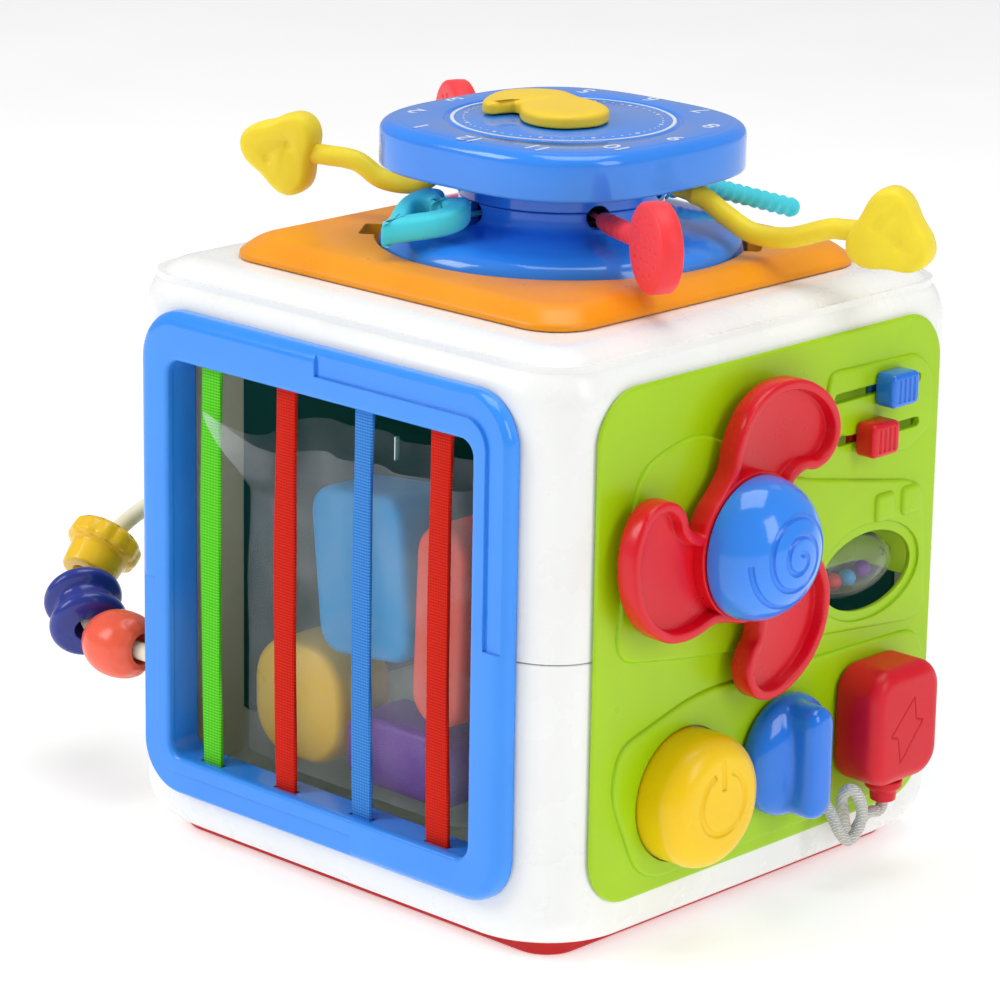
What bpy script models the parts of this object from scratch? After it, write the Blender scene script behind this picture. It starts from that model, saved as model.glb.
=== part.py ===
"""Baby activity cube: elastic-band window, busy panel, bead loop and a pull-string clock toy on top.

Sizes are in millimetres and become metres where the meshes are made. Z is up, the cube stands on z = 0
with its window facing -Y, its busy panel facing +X and its bead loop on -X.
"""

import math

import bmesh
import bpy
from mathutils import Matrix, Vector

MM = 0.001
GAP = 0.3

# Body
CUBE_HALF = 75.0
WALL = 3.0
EDGE_RADIUS = 16.0
SHOULDER_RADIUS = 13.0
SHELL_BOTTOM = 4.4
SHELL_TOP = 149.5
SEAM_Z = 76.2
FLOOR_Z = 6.0
BASE_HALF = 64.8
BASE_CORNER = 9.0
BASE_TOP = 4.1
PANEL_CENTRE_Z = 77.35
PANEL_HALF = 63.0
PANEL_HALF_Z = 63.15
PANEL_BACK = 75.3
PANEL_FRONT = 77.0
PANEL_CORNER = 13.0

# Elastic-band window
FRAME_HALF = 62.7
FRAME_HALF_Z = 62.65
FRAME_FRONT = 80.0
OPENING_HALF = 52.0
OPENING_HALF_Z = 51.25
OPENING_CENTRE_Z = 76.75
SLEEVE_WALL = 2.8
SLEEVE_BACK = 69.8
BAND_WIDTH = 6.3
BAND_FRONT = 76.5
BAND_BACK = 75.3
BAND_SOCKET = 1.8
BAND_CENTRES = {
    "band_green": -39.6,
    "band_red_left": -13.2,
    "band_blue": 13.3,
    "band_red_right": 38.9,
}

# Busy panel pieces, as (y, z) on the +X side
FAN_CENTRE = (-18.3, 97.5)
# One blade from its hooked side round to its straight side: sideways and outward from the hub centre
FAN_BLADE = [
    (6.3, 17.7), (7.0, 20.0), (9.2, 22.6), (12.6, 23.9), (15.9, 27.2), (17.0, 32.0), (15.3, 36.8), (10.4, 40.4),
    (3.3, 41.9), (-5.0, 40.8), (-12.6, 36.4), (-17.2, 30.0), (-18.5, 24.0), (-18.0, 18.0), (-16.6, 12.6),
]
FAN_HUB_RADIUS = 18.8
FAN_FIRST_BLADE = 60.0
FAN_BACK = 79.5
FAN_FRONT = 85.3
DOME_RADIUS = 17.5
DOME_FRONT = 100.3
BUTTON_CENTRE = (-31.5, 36.8)
BUTTON_RADIUS = 16.5
KNOB_CENTRE = (4.2, 38.6)
KNOB_RADIUS = 15.6
SLOT_HALF_Z = 1.25
UPPER_SLOT = (20.5, 54.0, 124.5)
LOWER_SLOT = (23.0, 54.0, 113.2)
UPPER_KNOB_Y = 41.0
LOWER_KNOB_Y = 34.0
DRUM_CENTRE = (68.6, 36.3, 77.9)
DRUM_RADIUS = 8.3
DRUM_HALF_LENGTH = 16.5
DRUM_WALL = 1.2
KEY_CENTRE = (37.5, 40.8)
NOZZLE_AXIS = (84.0, 37.0)
CORD_DIAMETER = 3.0
CORD_ROUTE = [
    (84.0, 37.0, 19.1),
    (84.0, 36.3, 17.7),
    (84.2, 34.9, 17.2),
    (83.9, 33.2, 17.4),
    (83.0, 31.6, 16.8),
    (81.8, 31.0, 14.4),
    (80.8, 30.1, 12.0),
    (80.1, 28.9, 11.4),
    (79.9, 27.7, 13.5),
    (80.2, 26.3, 17.1),
    (81.6, 23.8, 21.1),
    (83.9, 21.3, 24.8),
    (85.9, 20.4, 26.8),
    (87.1, 21.2, 26.8),
    (87.9, 22.3, 25.1),
    (88.1, 23.4, 22.5),
    (87.9, 24.0, 20.0),
    (87.3, 23.9, 17.1),
    (86.5, 23.0, 14.4),
    (85.9, 21.2, 13.4),
    (85.3, 19.3, 15.2),
    (84.4, 18.1, 18.0),
    (82.9, 17.9, 20.5),
    (81.0, 17.5, 22.9),
    (79.0, 17.0, 24.8),
    (77.0, 16.7, 25.7),
    (74.8, 16.6, 25.9),
    (72.5, 16.6, 25.9),
]
CORD_HOLE = (16.6, 25.9)

# Bead loop on the -X side
LOOP_CENTRE = (-95.0, -40.0, 57.0)
LOOP_RADIUS = 26.0
LOOP_TILT = 50.0
TUBE_RADIUS = 2.3
BEAD_BORE = 4.1
BEAD_ANGLES = {"bead_yellow": -8.0, "bead_blue": -51.0, "bead_orange": -94.0}

# Pull-string clock toy
HEART_REACH = 40.1
HEART_Z = 164.6
HEART_TILT = 16.0
HEART_SCALE = 0.74
POINTER_TOP = 188.9
# Clock hand from its round end: a fat body, a hand-like lobe and a hooked tail
POINTER_CORNERS = [
    (16.3, -1.5), (15.4, 4.0), (11.8, 9.0), (5.0, 12.4), (-1.5, 13.6), (-5.2, 15.0), (-9.8, 16.4), (-14.4, 15.2),
    (-18.4, 12.0), (-20.8, 7.5), (-20.6, 2.5), (-18.4, -3.0), (-15.6, -7.4), (-13.0, -9.0), (-10.9, -8.4),
    (-10.2, -5.6), (-9.0, -3.2), (-6.6, -3.6), (-3.6, -6.6), (0.2, -9.5), (4.5, -11.0), (9.0, -10.8), (13.4, -8.2),
]
TOY_X = 2.6
TOY_Y = 2.5
HEAD_HALF = 40.4
HEAD_POWER = 3.0
HEAD_UNDER = 173.2
HEAD_TOP = 185.0
NECK_RADIUS = 26.0
STRING_HOLE = 3.0
THIN_STRING = 0.7
THICK_STRING = 2.6
YELLOW_AZIMUTH = 20.0
RED_AZIMUTH = -27.0
CYAN_AZIMUTH = 257.0
YELLOW_Z = 170.0
RED_Z = 165.5
CYAN_Z = 163.8

UP = Vector((0.0, 0.0, 1.0))
SIDES = {
    "front": (Vector((1, 0, 0)), UP, Vector((0, -1, 0))),
    "right": (Vector((0, 1, 0)), UP, Vector((1, 0, 0))),
    "left": (Vector((0, -1, 0)), UP, Vector((-1, 0, 0))),
    "back": (Vector((-1, 0, 0)), UP, Vector((0, 1, 0))),
    "top": (Vector((1, 0, 0)), Vector((0, 1, 0)), UP),
}


def clear_scene():
    for item in list(bpy.data.objects):
        bpy.data.objects.remove(item, do_unlink=True)


def look(name, colour, roughness=0.35, metallic=0.0, alpha=1.0):
    made = bpy.data.materials.new(name)
    made.use_nodes = True
    shader = made.node_tree.nodes["Principled BSDF"]
    shader.inputs["Base Color"].default_value = (*colour, 1.0)
    shader.inputs["Roughness"].default_value = roughness
    shader.inputs["Metallic"].default_value = metallic
    shader.inputs["Alpha"].default_value = alpha
    return made


def place(side, u, v, w):
    across, up, out = SIDES[side]
    return across * u + up * v + out * w


def circle(radius, count, centre=(0.0, 0.0)):
    turns = [2 * math.pi * i / count for i in range(count)]
    return [(centre[0] + radius * math.cos(t), centre[1] + radius * math.sin(t)) for t in turns]


def rounded_rect(half_u, half_v, radius, centre=(0.0, 0.0), steps=3):
    points = []
    for corner in range(4):
        start = corner * math.pi / 2
        mid_u = (half_u - radius) * (1 if corner in (0, 3) else -1)
        mid_v = (half_v - radius) * (1 if corner in (0, 1) else -1)
        for i in range(steps + 1):
            turn = start + math.pi / 2 * i / steps
            u = centre[0] + mid_u + radius * math.cos(turn)
            v = centre[1] + mid_v + radius * math.sin(turn)
            points.append((u, v))
    return points


def polar_outline(reach, count, centre=(0.0, 0.0)):
    """Closed outline from a reach(angle) formula."""
    points = []
    for i in range(count):
        turn = 2 * math.pi * i / count
        points.append((centre[0] + reach(turn) * math.cos(turn), centre[1] + reach(turn) * math.sin(turn)))
    return points


def ring_on(side, outline, w):
    return [place(side, u, v, w) for u, v in outline]


def finish_mesh(name, made, colour_look, smooth_angle=35.0):
    bmesh.ops.recalc_face_normals(made, faces=made.faces)
    mesh = bpy.data.meshes.new(name)
    made.to_mesh(mesh)
    made.free()
    piece = bpy.data.objects.new(name, mesh)
    bpy.context.collection.objects.link(piece)
    if colour_look is not None:
        mesh.materials.append(colour_look)
    mesh.shade_smooth()
    mesh.set_sharp_from_angle(angle=math.radians(smooth_angle))
    return piece


def loft(name, rings, colour_look, closed=False):
    """Skins equal rings of points in millimetres. A ring of one point is a tip. Open lofts get end caps."""
    made = bmesh.new()
    rows = [[made.verts.new(point * MM) for point in ring] for ring in rings]
    pairs = list(zip(rows, rows[1:]))
    if closed:
        pairs.append((rows[-1], rows[0]))
    for low, high in pairs:
        count = max(len(low), len(high))
        for i in range(count):
            j = (i + 1) % count
            if len(low) == 1:
                made.faces.new((low[0], high[j], high[i]))
            elif len(high) == 1:
                made.faces.new((low[i], low[j], high[0]))
            else:
                made.faces.new((low[i], low[j], high[j], high[i]))
    if not closed:
        if len(rows[0]) > 1:
            made.faces.new(list(reversed(rows[0])))
        if len(rows[-1]) > 1:
            made.faces.new(rows[-1])
    return finish_mesh(name, made, colour_look)


def plate(name, side, layers, colour_look):
    """Stacked outlines on a side: layers are (outline, height)."""
    return loft(name, [ring_on(side, outline, w) for outline, w in layers], colour_look)


def axes_across(axis):
    axis = axis.normalized()
    helper = UP if abs(axis.dot(UP)) < 0.9 else Vector((1, 0, 0))
    first = axis.cross(helper).normalized()
    return first, axis.cross(first).normalized()


def turned(name, profile, origin, axis, colour_look, count=24, closed=False):
    """Body of revolution from (radius, distance along the axis) points."""
    axis = Vector(axis).normalized()
    first, second = axes_across(axis)
    rings = []
    for radius, along in profile:
        centre = Vector(origin) + axis * along
        if radius < 1e-6:
            rings.append([centre])
            continue
        turns = [2 * math.pi * i / count for i in range(count)]
        rings.append([centre + first * (radius * math.cos(t)) + second * (radius * math.sin(t)) for t in turns])
    return loft(name, rings, colour_look, closed)


def on_right(centre):
    return (0.0, centre[0], centre[1])


def smooth_path(points, steps):
    """Points on a smooth curve through the given ones."""
    ends = [points[0] * 2 - points[1], *points, points[-1] * 2 - points[-2]]
    made = []
    for a, b, c, d in zip(ends, ends[1:], ends[2:], ends[3:]):
        for i in range(steps):
            t = i / steps
            made.append(
                (b * 2 + (c - a) * t + (a * 2 - b * 5 + c * 4 - d) * t * t
                 + (b * 3 - a - c * 3 + d) * t * t * t) * 0.5
            )
    made.append(points[-1])
    return made


def swept(name, path, radii, colour_look, count=8):
    """Round tube along a path, its frame carried along without twist."""
    rings = []
    across = None
    for i, point in enumerate(path):
        ahead = path[min(i + 1, len(path) - 1)]
        behind = path[max(i - 1, 0)]
        along = (ahead - behind).normalized()
        if across is None:
            across = axes_across(along)[0]
        across = (across - along * across.dot(along)).normalized()
        over = along.cross(across)
        radius = radii[i] if isinstance(radii, list) else radii
        turns = [2 * math.pi * k / count for k in range(count)]
        rings.append([point + across * (radius * math.cos(t)) + over * (radius * math.sin(t)) for t in turns])
    return loft(name, rings, colour_look)


def helper_only(piece):
    piece.hide_render = True
    piece.display_type = "WIRE"
    return piece


def boolean(piece, tool, operation):
    helper_only(tool)
    step = piece.modifiers.new(tool.name, "BOOLEAN")
    step.operation = operation
    step.solver = "EXACT"
    step.object = tool


def cut(piece, *tools):
    for tool in tools:
        boolean(piece, tool, "DIFFERENCE")


def pivot(name, point, children, parent=None):
    """Empty on a joint axis that carries the pieces of one moving body."""
    made = bpy.data.objects.new(name, None)
    bpy.context.collection.objects.link(made)
    made.location = Vector(point) * MM
    made.empty_display_size = 0.01
    spot = Matrix.Translation(Vector(point) * MM)
    if parent is not None:
        made.parent = parent
        made.matrix_parent_inverse = Matrix.Translation(-parent.location)
    for child in children:
        child.parent = made
        child.matrix_parent_inverse = spot.inverted()
    return made


def block(name, side, spans, colour_look, radius=2.0, rounding=1.0):
    """Box with soft edges: spans are (u, v, w) ranges."""
    (u0, u1), (v0, v1), (w0, w1) = spans
    centre = ((u0 + u1) / 2, (v0 + v1) / 2)
    half_u = (u1 - u0) / 2
    half_v = (v1 - v0) / 2
    layers = []
    for inset, w in ((rounding, w0), (0.0, w0 + rounding), (0.0, w1 - rounding), (rounding, w1)):
        outline = rounded_rect(half_u - inset, half_v - inset, max(radius - inset, 0.4), centre, steps=1)
        layers.append((outline, w))
    return plate(name, side, layers, colour_look)


def box_tool(name, side, spans, radius=0.0):
    (u0, u1), (v0, v1), (w0, w1) = spans
    centre = ((u0 + u1) / 2, (v0 + v1) / 2)
    half_u = (u1 - u0) / 2
    half_v = (v1 - v0) / 2
    if radius > 0:
        outline = rounded_rect(half_u, half_v, radius, centre)
    else:
        outline = [
            (centre[0] + half_u, centre[1] + half_v),
            (centre[0] - half_u, centre[1] + half_v),
            (centre[0] - half_u, centre[1] - half_v),
            (centre[0] + half_u, centre[1] - half_v),
        ]
    return plate(name, side, [(outline, w0), (outline, w1)], None)


def round_tool(name, origin, axis, radius, start, end, count=24):
    profile = [(0.0, start), (radius, start), (radius, end), (0.0, end)]
    return turned(name, profile, origin, axis, None, count)


def shell_outline(inset):
    half = CUBE_HALF - inset
    return rounded_rect(half, half, EDGE_RADIUS - inset)


def make_shells(white):
    inner = shell_outline(WALL)
    lower = [
        (inner, FLOOR_Z),
        (inner, SEAM_Z - GAP / 2),
        (shell_outline(0.0), SEAM_Z - GAP / 2),
        (shell_outline(0.0), SHELL_BOTTOM + 7.0),
        (rounded_rect(CUBE_HALF - 0.5, CUBE_HALF - 0.5, 17.0), SHELL_BOTTOM + 3.8),
        (rounded_rect(CUBE_HALF - 1.3, CUBE_HALF - 1.3, 18.0), SHELL_BOTTOM + 1.5),
        (rounded_rect(CUBE_HALF - 3.6, CUBE_HALF - 3.6, 22.0), SHELL_BOTTOM),
    ]
    upper = [
        (inner, SHELL_TOP - WALL),
        (inner, SEAM_Z + GAP / 2),
        (shell_outline(0.0), SEAM_Z + GAP / 2),
    ]
    for i in range(5):
        turn = math.radians(90 * i / 4)
        inset = SHOULDER_RADIUS * (1 - math.cos(turn))
        z = SHELL_TOP - SHOULDER_RADIUS * (1 - math.sin(turn))
        upper.append((shell_outline(inset), z))
    shells = [plate("lower_shell", "top", lower, white), plate("upper_shell", "top", upper, white)]
    windows = [
        box_tool("cut_window_front", "front", ((-57.5, 57.5), (19.5, 134.5), (60, 90)), 10),
        box_tool("cut_window_back", "back", ((-57.5, 57.5), (19.5, 134.5), (60, 90)), 10),
        box_tool("cut_window_right", "right", ((-59.5, 59.5), (17.85, 136.85), (60, 90)), 12),
        box_tool("cut_window_left", "left", ((-57.0, 38.0), (19.5, 134.5), (60, 90)), 10),
    ]
    for shell in shells:
        cut(shell, *windows)


def make_base(red):
    layers = [
        (rounded_rect(BASE_HALF - 0.8, BASE_HALF - 0.8, BASE_CORNER - 0.8), 0.0),
        (rounded_rect(BASE_HALF, BASE_HALF, BASE_CORNER), 0.8),
        (rounded_rect(BASE_HALF, BASE_HALF, BASE_CORNER), BASE_TOP),
    ]
    plate("base_plate", "top", layers, red)


def make_window(frame_blue, band_looks):
    middle = (0.0, PANEL_CENTRE_Z)
    hole = (0.0, OPENING_CENTRE_Z)

    def outer(inset):
        return rounded_rect(FRAME_HALF - inset, FRAME_HALF_Z - inset, 13.0 - inset, middle)

    def inner(grow):
        return rounded_rect(OPENING_HALF + grow, OPENING_HALF_Z + grow, 4.0 + grow, hole)

    layers = [
        (outer(0.0), PANEL_BACK),
        (outer(0.0), 76.6),
        (outer(1.0), 78.9),
        (outer(3.4), FRAME_FRONT),
        (inner(0.9), FRAME_FRONT),
        (inner(0.0), FRAME_FRONT - 0.9),
        (inner(0.0), SLEEVE_BACK),
        (inner(SLEEVE_WALL), SLEEVE_BACK),
        (inner(SLEEVE_WALL), PANEL_BACK),
    ]
    rings = [ring_on("front", outline, w) for outline, w in layers]
    frame = loft("window_frame", rings, frame_blue, closed=True)
    bottom = OPENING_CENTRE_Z - OPENING_HALF_Z - BAND_SOCKET
    top = OPENING_CENTRE_Z + OPENING_HALF_Z + BAND_SOCKET
    for name, centre in BAND_CENTRES.items():
        reach = BAND_WIDTH / 2 + GAP
        spans = ((centre - reach, centre + reach), (bottom, top), (BAND_BACK - GAP, BAND_FRONT + GAP))
        cut(frame, box_tool("cut_" + name, "front", spans))
        rings = []
        for i in range(7):
            t = i / 6
            z = bottom + GAP + (top - bottom - 2 * GAP) * t
            bow = -0.8 * math.sin(math.pi * t)
            half = BAND_WIDTH / 2
            corners = [
                (centre + bow - half, BAND_BACK),
                (centre + bow + half, BAND_BACK),
                (centre + bow + half, BAND_FRONT),
                (centre + bow - half, BAND_FRONT),
            ]
            rings.append([Vector((x, -y, z)) for x, y in corners])
        loft(name, rings, band_looks[name])


def panel_layers(rim_centre, rim_u, rim_v, rim_radius, half, half_z):
    middle = (0.0, PANEL_CENTRE_Z)
    rim_wall = 1.5
    inner = rounded_rect(rim_u - rim_wall, rim_v - rim_wall, rim_radius - rim_wall, rim_centre)
    outer = rounded_rect(rim_u, rim_v, rim_radius, rim_centre)
    return [
        (inner, PANEL_BACK),
        (inner, 71.5),
        (outer, 71.5),
        (outer, PANEL_BACK),
        (rounded_rect(half, half_z, PANEL_CORNER, middle), PANEL_BACK),
        (rounded_rect(half, half_z, PANEL_CORNER, middle), PANEL_FRONT - 0.7),
        (rounded_rect(half - 0.7, half_z - 0.7, PANEL_CORNER - 0.7, middle), PANEL_FRONT),
    ]


def make_busy_panel(green):
    layers = panel_layers((0.0, PANEL_CENTRE_Z), 59.2, 59.2, 11.7, PANEL_HALF, PANEL_HALF_Z)
    panel = plate("busy_panel", "right", layers, green)
    through = (PANEL_BACK - 3, PANEL_FRONT + 3)
    for name, slot in (("cut_slot_upper", UPPER_SLOT), ("cut_slot_lower", LOWER_SLOT)):
        spans = ((slot[0], slot[1]), (slot[2] - SLOT_HALF_Z, slot[2] + SLOT_HALF_Z), through)
        cut(panel, box_tool(name, "right", spans, SLOT_HALF_Z - 0.05))
    ellipse = [
        (DRUM_CENTRE[1] + 17.3 * u, DRUM_CENTRE[2] + 9.9 * v) for u, v in circle(1.0, 28)
    ]
    cut(panel, plate("cut_rattle_window", "right", [(ellipse, w) for w in through], None))
    holes = {
        "cut_fan_hole": (FAN_CENTRE, 3.4, 12),
        "cut_button_hole": (BUTTON_CENTRE, BUTTON_RADIUS + GAP, 24),
        "cut_knob_hole": (KNOB_CENTRE, 4.4, 12),
        "cut_cord_hole": (CORD_HOLE, 2.2, 12),
    }
    for name, (centre, radius, count) in holes.items():
        cut(panel, round_tool(name, on_right(centre), (1, 0, 0), radius, *through, count))


def clip_profile(inner, outer):
    return [(inner, 73.3), (outer, 73.3), (outer, 75.0), (inner, 75.0)]


def closed_curve(corners, steps):
    """Smooth closed outline through the corners."""
    points = [Vector((u, v, 0.0)) for u, v in corners]
    run = smooth_path([points[-1], *points, points[0], points[1]], steps)
    return [(point.x, point.y) for point in run[steps : steps * (len(points) + 1)]]


def fan_corners():
    """Three hooked blades joined by arcs of the hub."""
    corners = []
    for blade in range(3):
        turn = math.radians(FAN_FIRST_BLADE + 120 * blade)
        for side, out in FAN_BLADE:
            y = out * math.cos(turn) + side * math.sin(turn)
            z = out * math.sin(turn) - side * math.cos(turn)
            corners.append((y, z))
        for step in (68, 80, 92):
            arc = turn + math.radians(step)
            corners.append((FAN_HUB_RADIUS * math.cos(arc), FAN_HUB_RADIUS * math.sin(arc)))
    return corners


def make_fan(red, blue, grey):
    out = (1, 0, 0)
    spot = on_right(FAN_CENTRE)

    outline = closed_curve(fan_corners(), 2)

    def scaled(factor):
        return [(FAN_CENTRE[0] + u * factor, FAN_CENTRE[1] + v * factor) for u, v in outline]

    layers = [
        (scaled(0.98), FAN_BACK),
        (scaled(1.0), FAN_BACK + 0.8),
        (scaled(1.0), FAN_FRONT - 0.9),
        (scaled(0.98), FAN_FRONT),
    ]
    blades = plate("fan_blades", "right", layers, red)
    dome = [(0.0, FAN_FRONT + GAP), (DOME_RADIUS - 1, FAN_FRONT + GAP), (DOME_RADIUS, FAN_FRONT + 1.2)]
    for i in range(6):
        turn = math.radians(90 * i / 6)
        rise = DOME_FRONT - FAN_FRONT - 2.0
        dome.append((DOME_RADIUS * math.cos(turn), FAN_FRONT + 2.0 + rise * math.sin(turn)))
    dome.append((0.0, DOME_FRONT))
    cover = turned("fan_dome", dome, spot, out, blue, 28)
    stem = [(0.0, 70.0), (3.0, 70.0), (3.0, 77.3), (7.5, 77.3), (7.5, 79.2), (0.0, 79.2)]
    axle = turned("fan_axle", stem, spot, out, red, 12)
    clip = turned("fan_clip", clip_profile(3.5, 6.5), spot, out, grey, 12, closed=True)
    pivot("fan_pivot", (80.0, *FAN_CENTRE), [blades, cover, axle, clip])


def make_button(yellow, grey, steel):
    out = (1, 0, 0)
    spot = on_right(BUTTON_CENTRE)
    cap = [
        (0.0, 75.2),
        (BUTTON_RADIUS, 75.2),
        (BUTTON_RADIUS, 83.5),
        (BUTTON_RADIUS - 0.5, 85.8),
        (BUTTON_RADIUS - 1.7, 87.5),
        (BUTTON_RADIUS - 3.6, 88.7),
        (BUTTON_RADIUS - 6.0, 89.3),
        (0.0, 89.6),
    ]
    button = turned("power_button", cap, spot, out, yellow, 28)
    u, v = BUTTON_CENTRE
    retainer = block(
        "button_retainer", "right", ((u - 19.5, u + 19.5), (v - 5, v + 5), (73.2, 74.9)), grey, 2.0, 0.4
    )
    pivot("button_pivot", (80.0, *BUTTON_CENTRE), [button, retainer])
    make_bracket("button_bracket", u, v, 20.5, 1.5, 60.0, 8.0, grey)
    coils = 4.5
    steps = 40
    path = []
    for i in range(steps + 1):
        turn = 2 * math.pi * coils * i / steps
        x = 62.6 + (72.1 - 62.6) * i / steps
        path.append(Vector((x, u + 7.0 * math.cos(turn), v + 7.0 * math.sin(turn))))
    swept("button_spring", path, 0.6, steel, 5)


def make_bracket(name, u, v, inside, wall, floor, half_height, grey):
    """U-shaped bracket behind the busy panel, open toward it."""
    tip = PANEL_BACK - GAP
    outline = [
        (u - inside - wall, tip),
        (u - inside - wall, floor),
        (u + inside + wall, floor),
        (u + inside + wall, tip),
        (u + inside, tip),
        (u + inside, floor + wall),
        (u - inside, floor + wall),
        (u - inside, tip),
    ]
    rings = [[Vector((x, y, z)) for y, x in outline] for z in (v - half_height, v + half_height)]
    return loft(name, rings, grey)


def make_knob(blue, grey):
    out = (1, 0, 0)
    spot = on_right(KNOB_CENTRE)
    cap = [
        (0.0, 70.5),
        (4.0, 70.5),
        (4.0, 77.3),
        (KNOB_RADIUS - 0.4, 77.3),
        (KNOB_RADIUS, 78.0),
        (KNOB_RADIUS, 79.6),
        (KNOB_RADIUS - 0.8, 81.7),
        (KNOB_RADIUS - 2.7, 83.6),
        (KNOB_RADIUS - 6.2, 85.0),
        (0.0, 85.6),
    ]
    knob = turned("rotary_knob", cap, spot, out, blue, 24)
    u, v = KNOB_CENTRE
    ridge = [
        (rounded_rect(5.0, 14.5, 4.9, (u, v)), 78.5),
        (rounded_rect(4.9, 14.4, 4.8, (u, v)), 87.4),
        (rounded_rect(4.3, 13.6, 4.2, (u, v)), 89.8),
        (rounded_rect(2.4, 11.4, 2.3, (u, v)), 91.3),
    ]
    boolean(knob, plate("join_knob_ridge", "right", ridge, None), "UNION")
    clip = turned("knob_clip", clip_profile(4.5, 7.5), spot, out, grey, 12, closed=True)
    pivot("knob_pivot", (80.0, *KNOB_CENTRE), [knob, clip])


def make_sliders(blue, red):
    for name, y, z, colour_look in (
        ("upper_slider", UPPER_KNOB_Y, UPPER_SLOT[2], blue),
        ("lower_slider", LOWER_KNOB_Y, LOWER_SLOT[2], red),
    ):
        spot = (y, z)
        layers = [
            (rounded_rect(4.0, 3.0, 0.6, spot, steps=1), 73.2),
            (rounded_rect(4.0, 3.0, 0.6, spot, steps=1), 75.0),
            (rounded_rect(2.2, 0.9, 0.5, spot, steps=1), 75.0),
            (rounded_rect(2.2, 0.9, 0.5, spot, steps=1), 77.3),
            (rounded_rect(5.0, 4.0, 1.6, spot, steps=1), 77.3),
            (rounded_rect(5.25, 4.25, 1.8, spot, steps=1), 78.0),
            (rounded_rect(5.25, 4.25, 1.8, spot, steps=1), 81.8),
            (rounded_rect(4.3, 3.3, 1.2, spot, steps=1), 83.0),
        ]
        slider = plate(name, "right", layers, colour_look)
        pivot(name + "_pivot", (80.0, y, z), [slider])


def ellipse_profile(radius, half, start, end, steps):
    """Meridian of an ellipsoid between two angles."""
    points = []
    for i in range(steps + 1):
        turn = math.radians(start + (end - start) * i / steps)
        points.append((radius * math.cos(turn), half * math.sin(turn)))
    return points


def make_rattle(clear, bead_looks, grey):
    along = (0, 1, 0)
    inner = ellipse_profile(DRUM_RADIUS - DRUM_WALL, DRUM_HALF_LENGTH - DRUM_WALL, -90, 84, 7)
    outer = ellipse_profile(DRUM_RADIUS, DRUM_HALF_LENGTH, 81, -81, 8)
    profile = [(0.0, inner[0][1])] + inner[1:]
    profile += [(0.7, 18.0), (1.3, 18.0)] + outer + [(1.3, -18.0), (0.0, -18.0)]
    drum = turned("rattle_drum", profile, DRUM_CENTRE, along, clear, 18)
    beads = []
    reach = 2.2
    for name, offset in (("rattle_bead_1", -9.2), ("rattle_bead_2", -3.6), ("rattle_bead_3", 2.2), ("rattle_bead_4", 7.9)):
        hollow = (DRUM_RADIUS - DRUM_WALL) * math.sqrt(1 - ((abs(offset) + 1.2) / (DRUM_HALF_LENGTH - DRUM_WALL)) ** 2)
        spot = (DRUM_CENTRE[0], DRUM_CENTRE[1] + offset, DRUM_CENTRE[2] - hollow + reach + 2 * GAP)
        ball = [(0.0, -reach)] + ellipse_profile(reach, reach, -54, 54, 3) + [(0.0, reach)]
        beads.append(turned(name, ball, spot, along, bead_looks[name], 8))
    pivot("rattle_pivot", DRUM_CENTRE, [drum, *beads])
    bracket = make_bracket("drum_bracket", DRUM_CENTRE[1], DRUM_CENTRE[2], 17.3, 1.4, 57.0, 5.0, grey)
    tool = round_tool("cut_drum_pins", DRUM_CENTRE, along, 1.7, -25.0, 25.0, 12)
    cut(bracket, tool)


def make_key(red, white, grey):
    u, v = KEY_CENTRE
    layers = [
        (rounded_rect(11.6, 13.7, 6.2, (u, v)), 77.3),
        (rounded_rect(13.0, 15.1, 7.4, (u, v)), 79.0),
        (rounded_rect(13.1, 15.2, 7.5, (u, v)), 87.0),
        (rounded_rect(12.3, 14.4, 6.7, (u, v)), 89.7),
        (rounded_rect(10.5, 12.6, 5.1, (u, v)), 91.0),
    ]
    key = plate("pull_key", "right", layers, red)
    spot = (NOZZLE_AXIS[0], NOZZLE_AXIS[1], 0.0)
    tip = [(0.0, 25.3), (4.8, 25.3), (4.6, 23.2), (3.4, 22.6), (3.2, 19.8), (0.0, 19.7)]
    nozzle = turned("key_nozzle", tip, spot, (0, 0, 1), red, 14)
    pivot("key_pivot", (80.0, u, v), [key, nozzle])
    spline_cord("key_cord", [Vector(point) for point in CORD_ROUTE], CORD_DIAMETER, white)
    knot = [(0.0, 69.0), (3.2, 69.0), (4.0, 69.8), (4.0, 71.4), (3.2, 72.2), (0.0, 72.2)]
    turned("cord_anchor", knot, on_right(CORD_HOLE), (1, 0, 0), grey, 12)


def spline_cord(name, route, diameter, colour_look):
    data = bpy.data.curves.new(name, "CURVE")
    data.dimensions = "3D"
    data.bevel_depth = diameter / 2 * MM
    data.bevel_resolution = 2
    data.use_fill_caps = True
    spline = data.splines.new("POLY")
    spline.points.add(len(route) - 1)
    for point, spot in zip(spline.points, route):
        point.co = (*(spot * MM), 1.0)
    cord = bpy.data.objects.new(name, data)
    data.materials.append(colour_look)
    bpy.context.collection.objects.link(cord)
    return cord


def loop_frame(angle):
    """Point and direction on the bead tube at an angle along its arc."""
    turn = math.radians(angle)
    tilt = math.radians(LOOP_TILT)
    rise = Vector((0.0, math.sin(tilt), math.cos(tilt)))
    outward = Vector((-1.0, 0.0, 0.0))
    point = Vector(LOOP_CENTRE) + (outward * math.cos(turn) + rise * math.sin(turn)) * LOOP_RADIUS
    direction = rise * math.cos(turn) - outward * math.sin(turn)
    return point, direction


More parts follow.
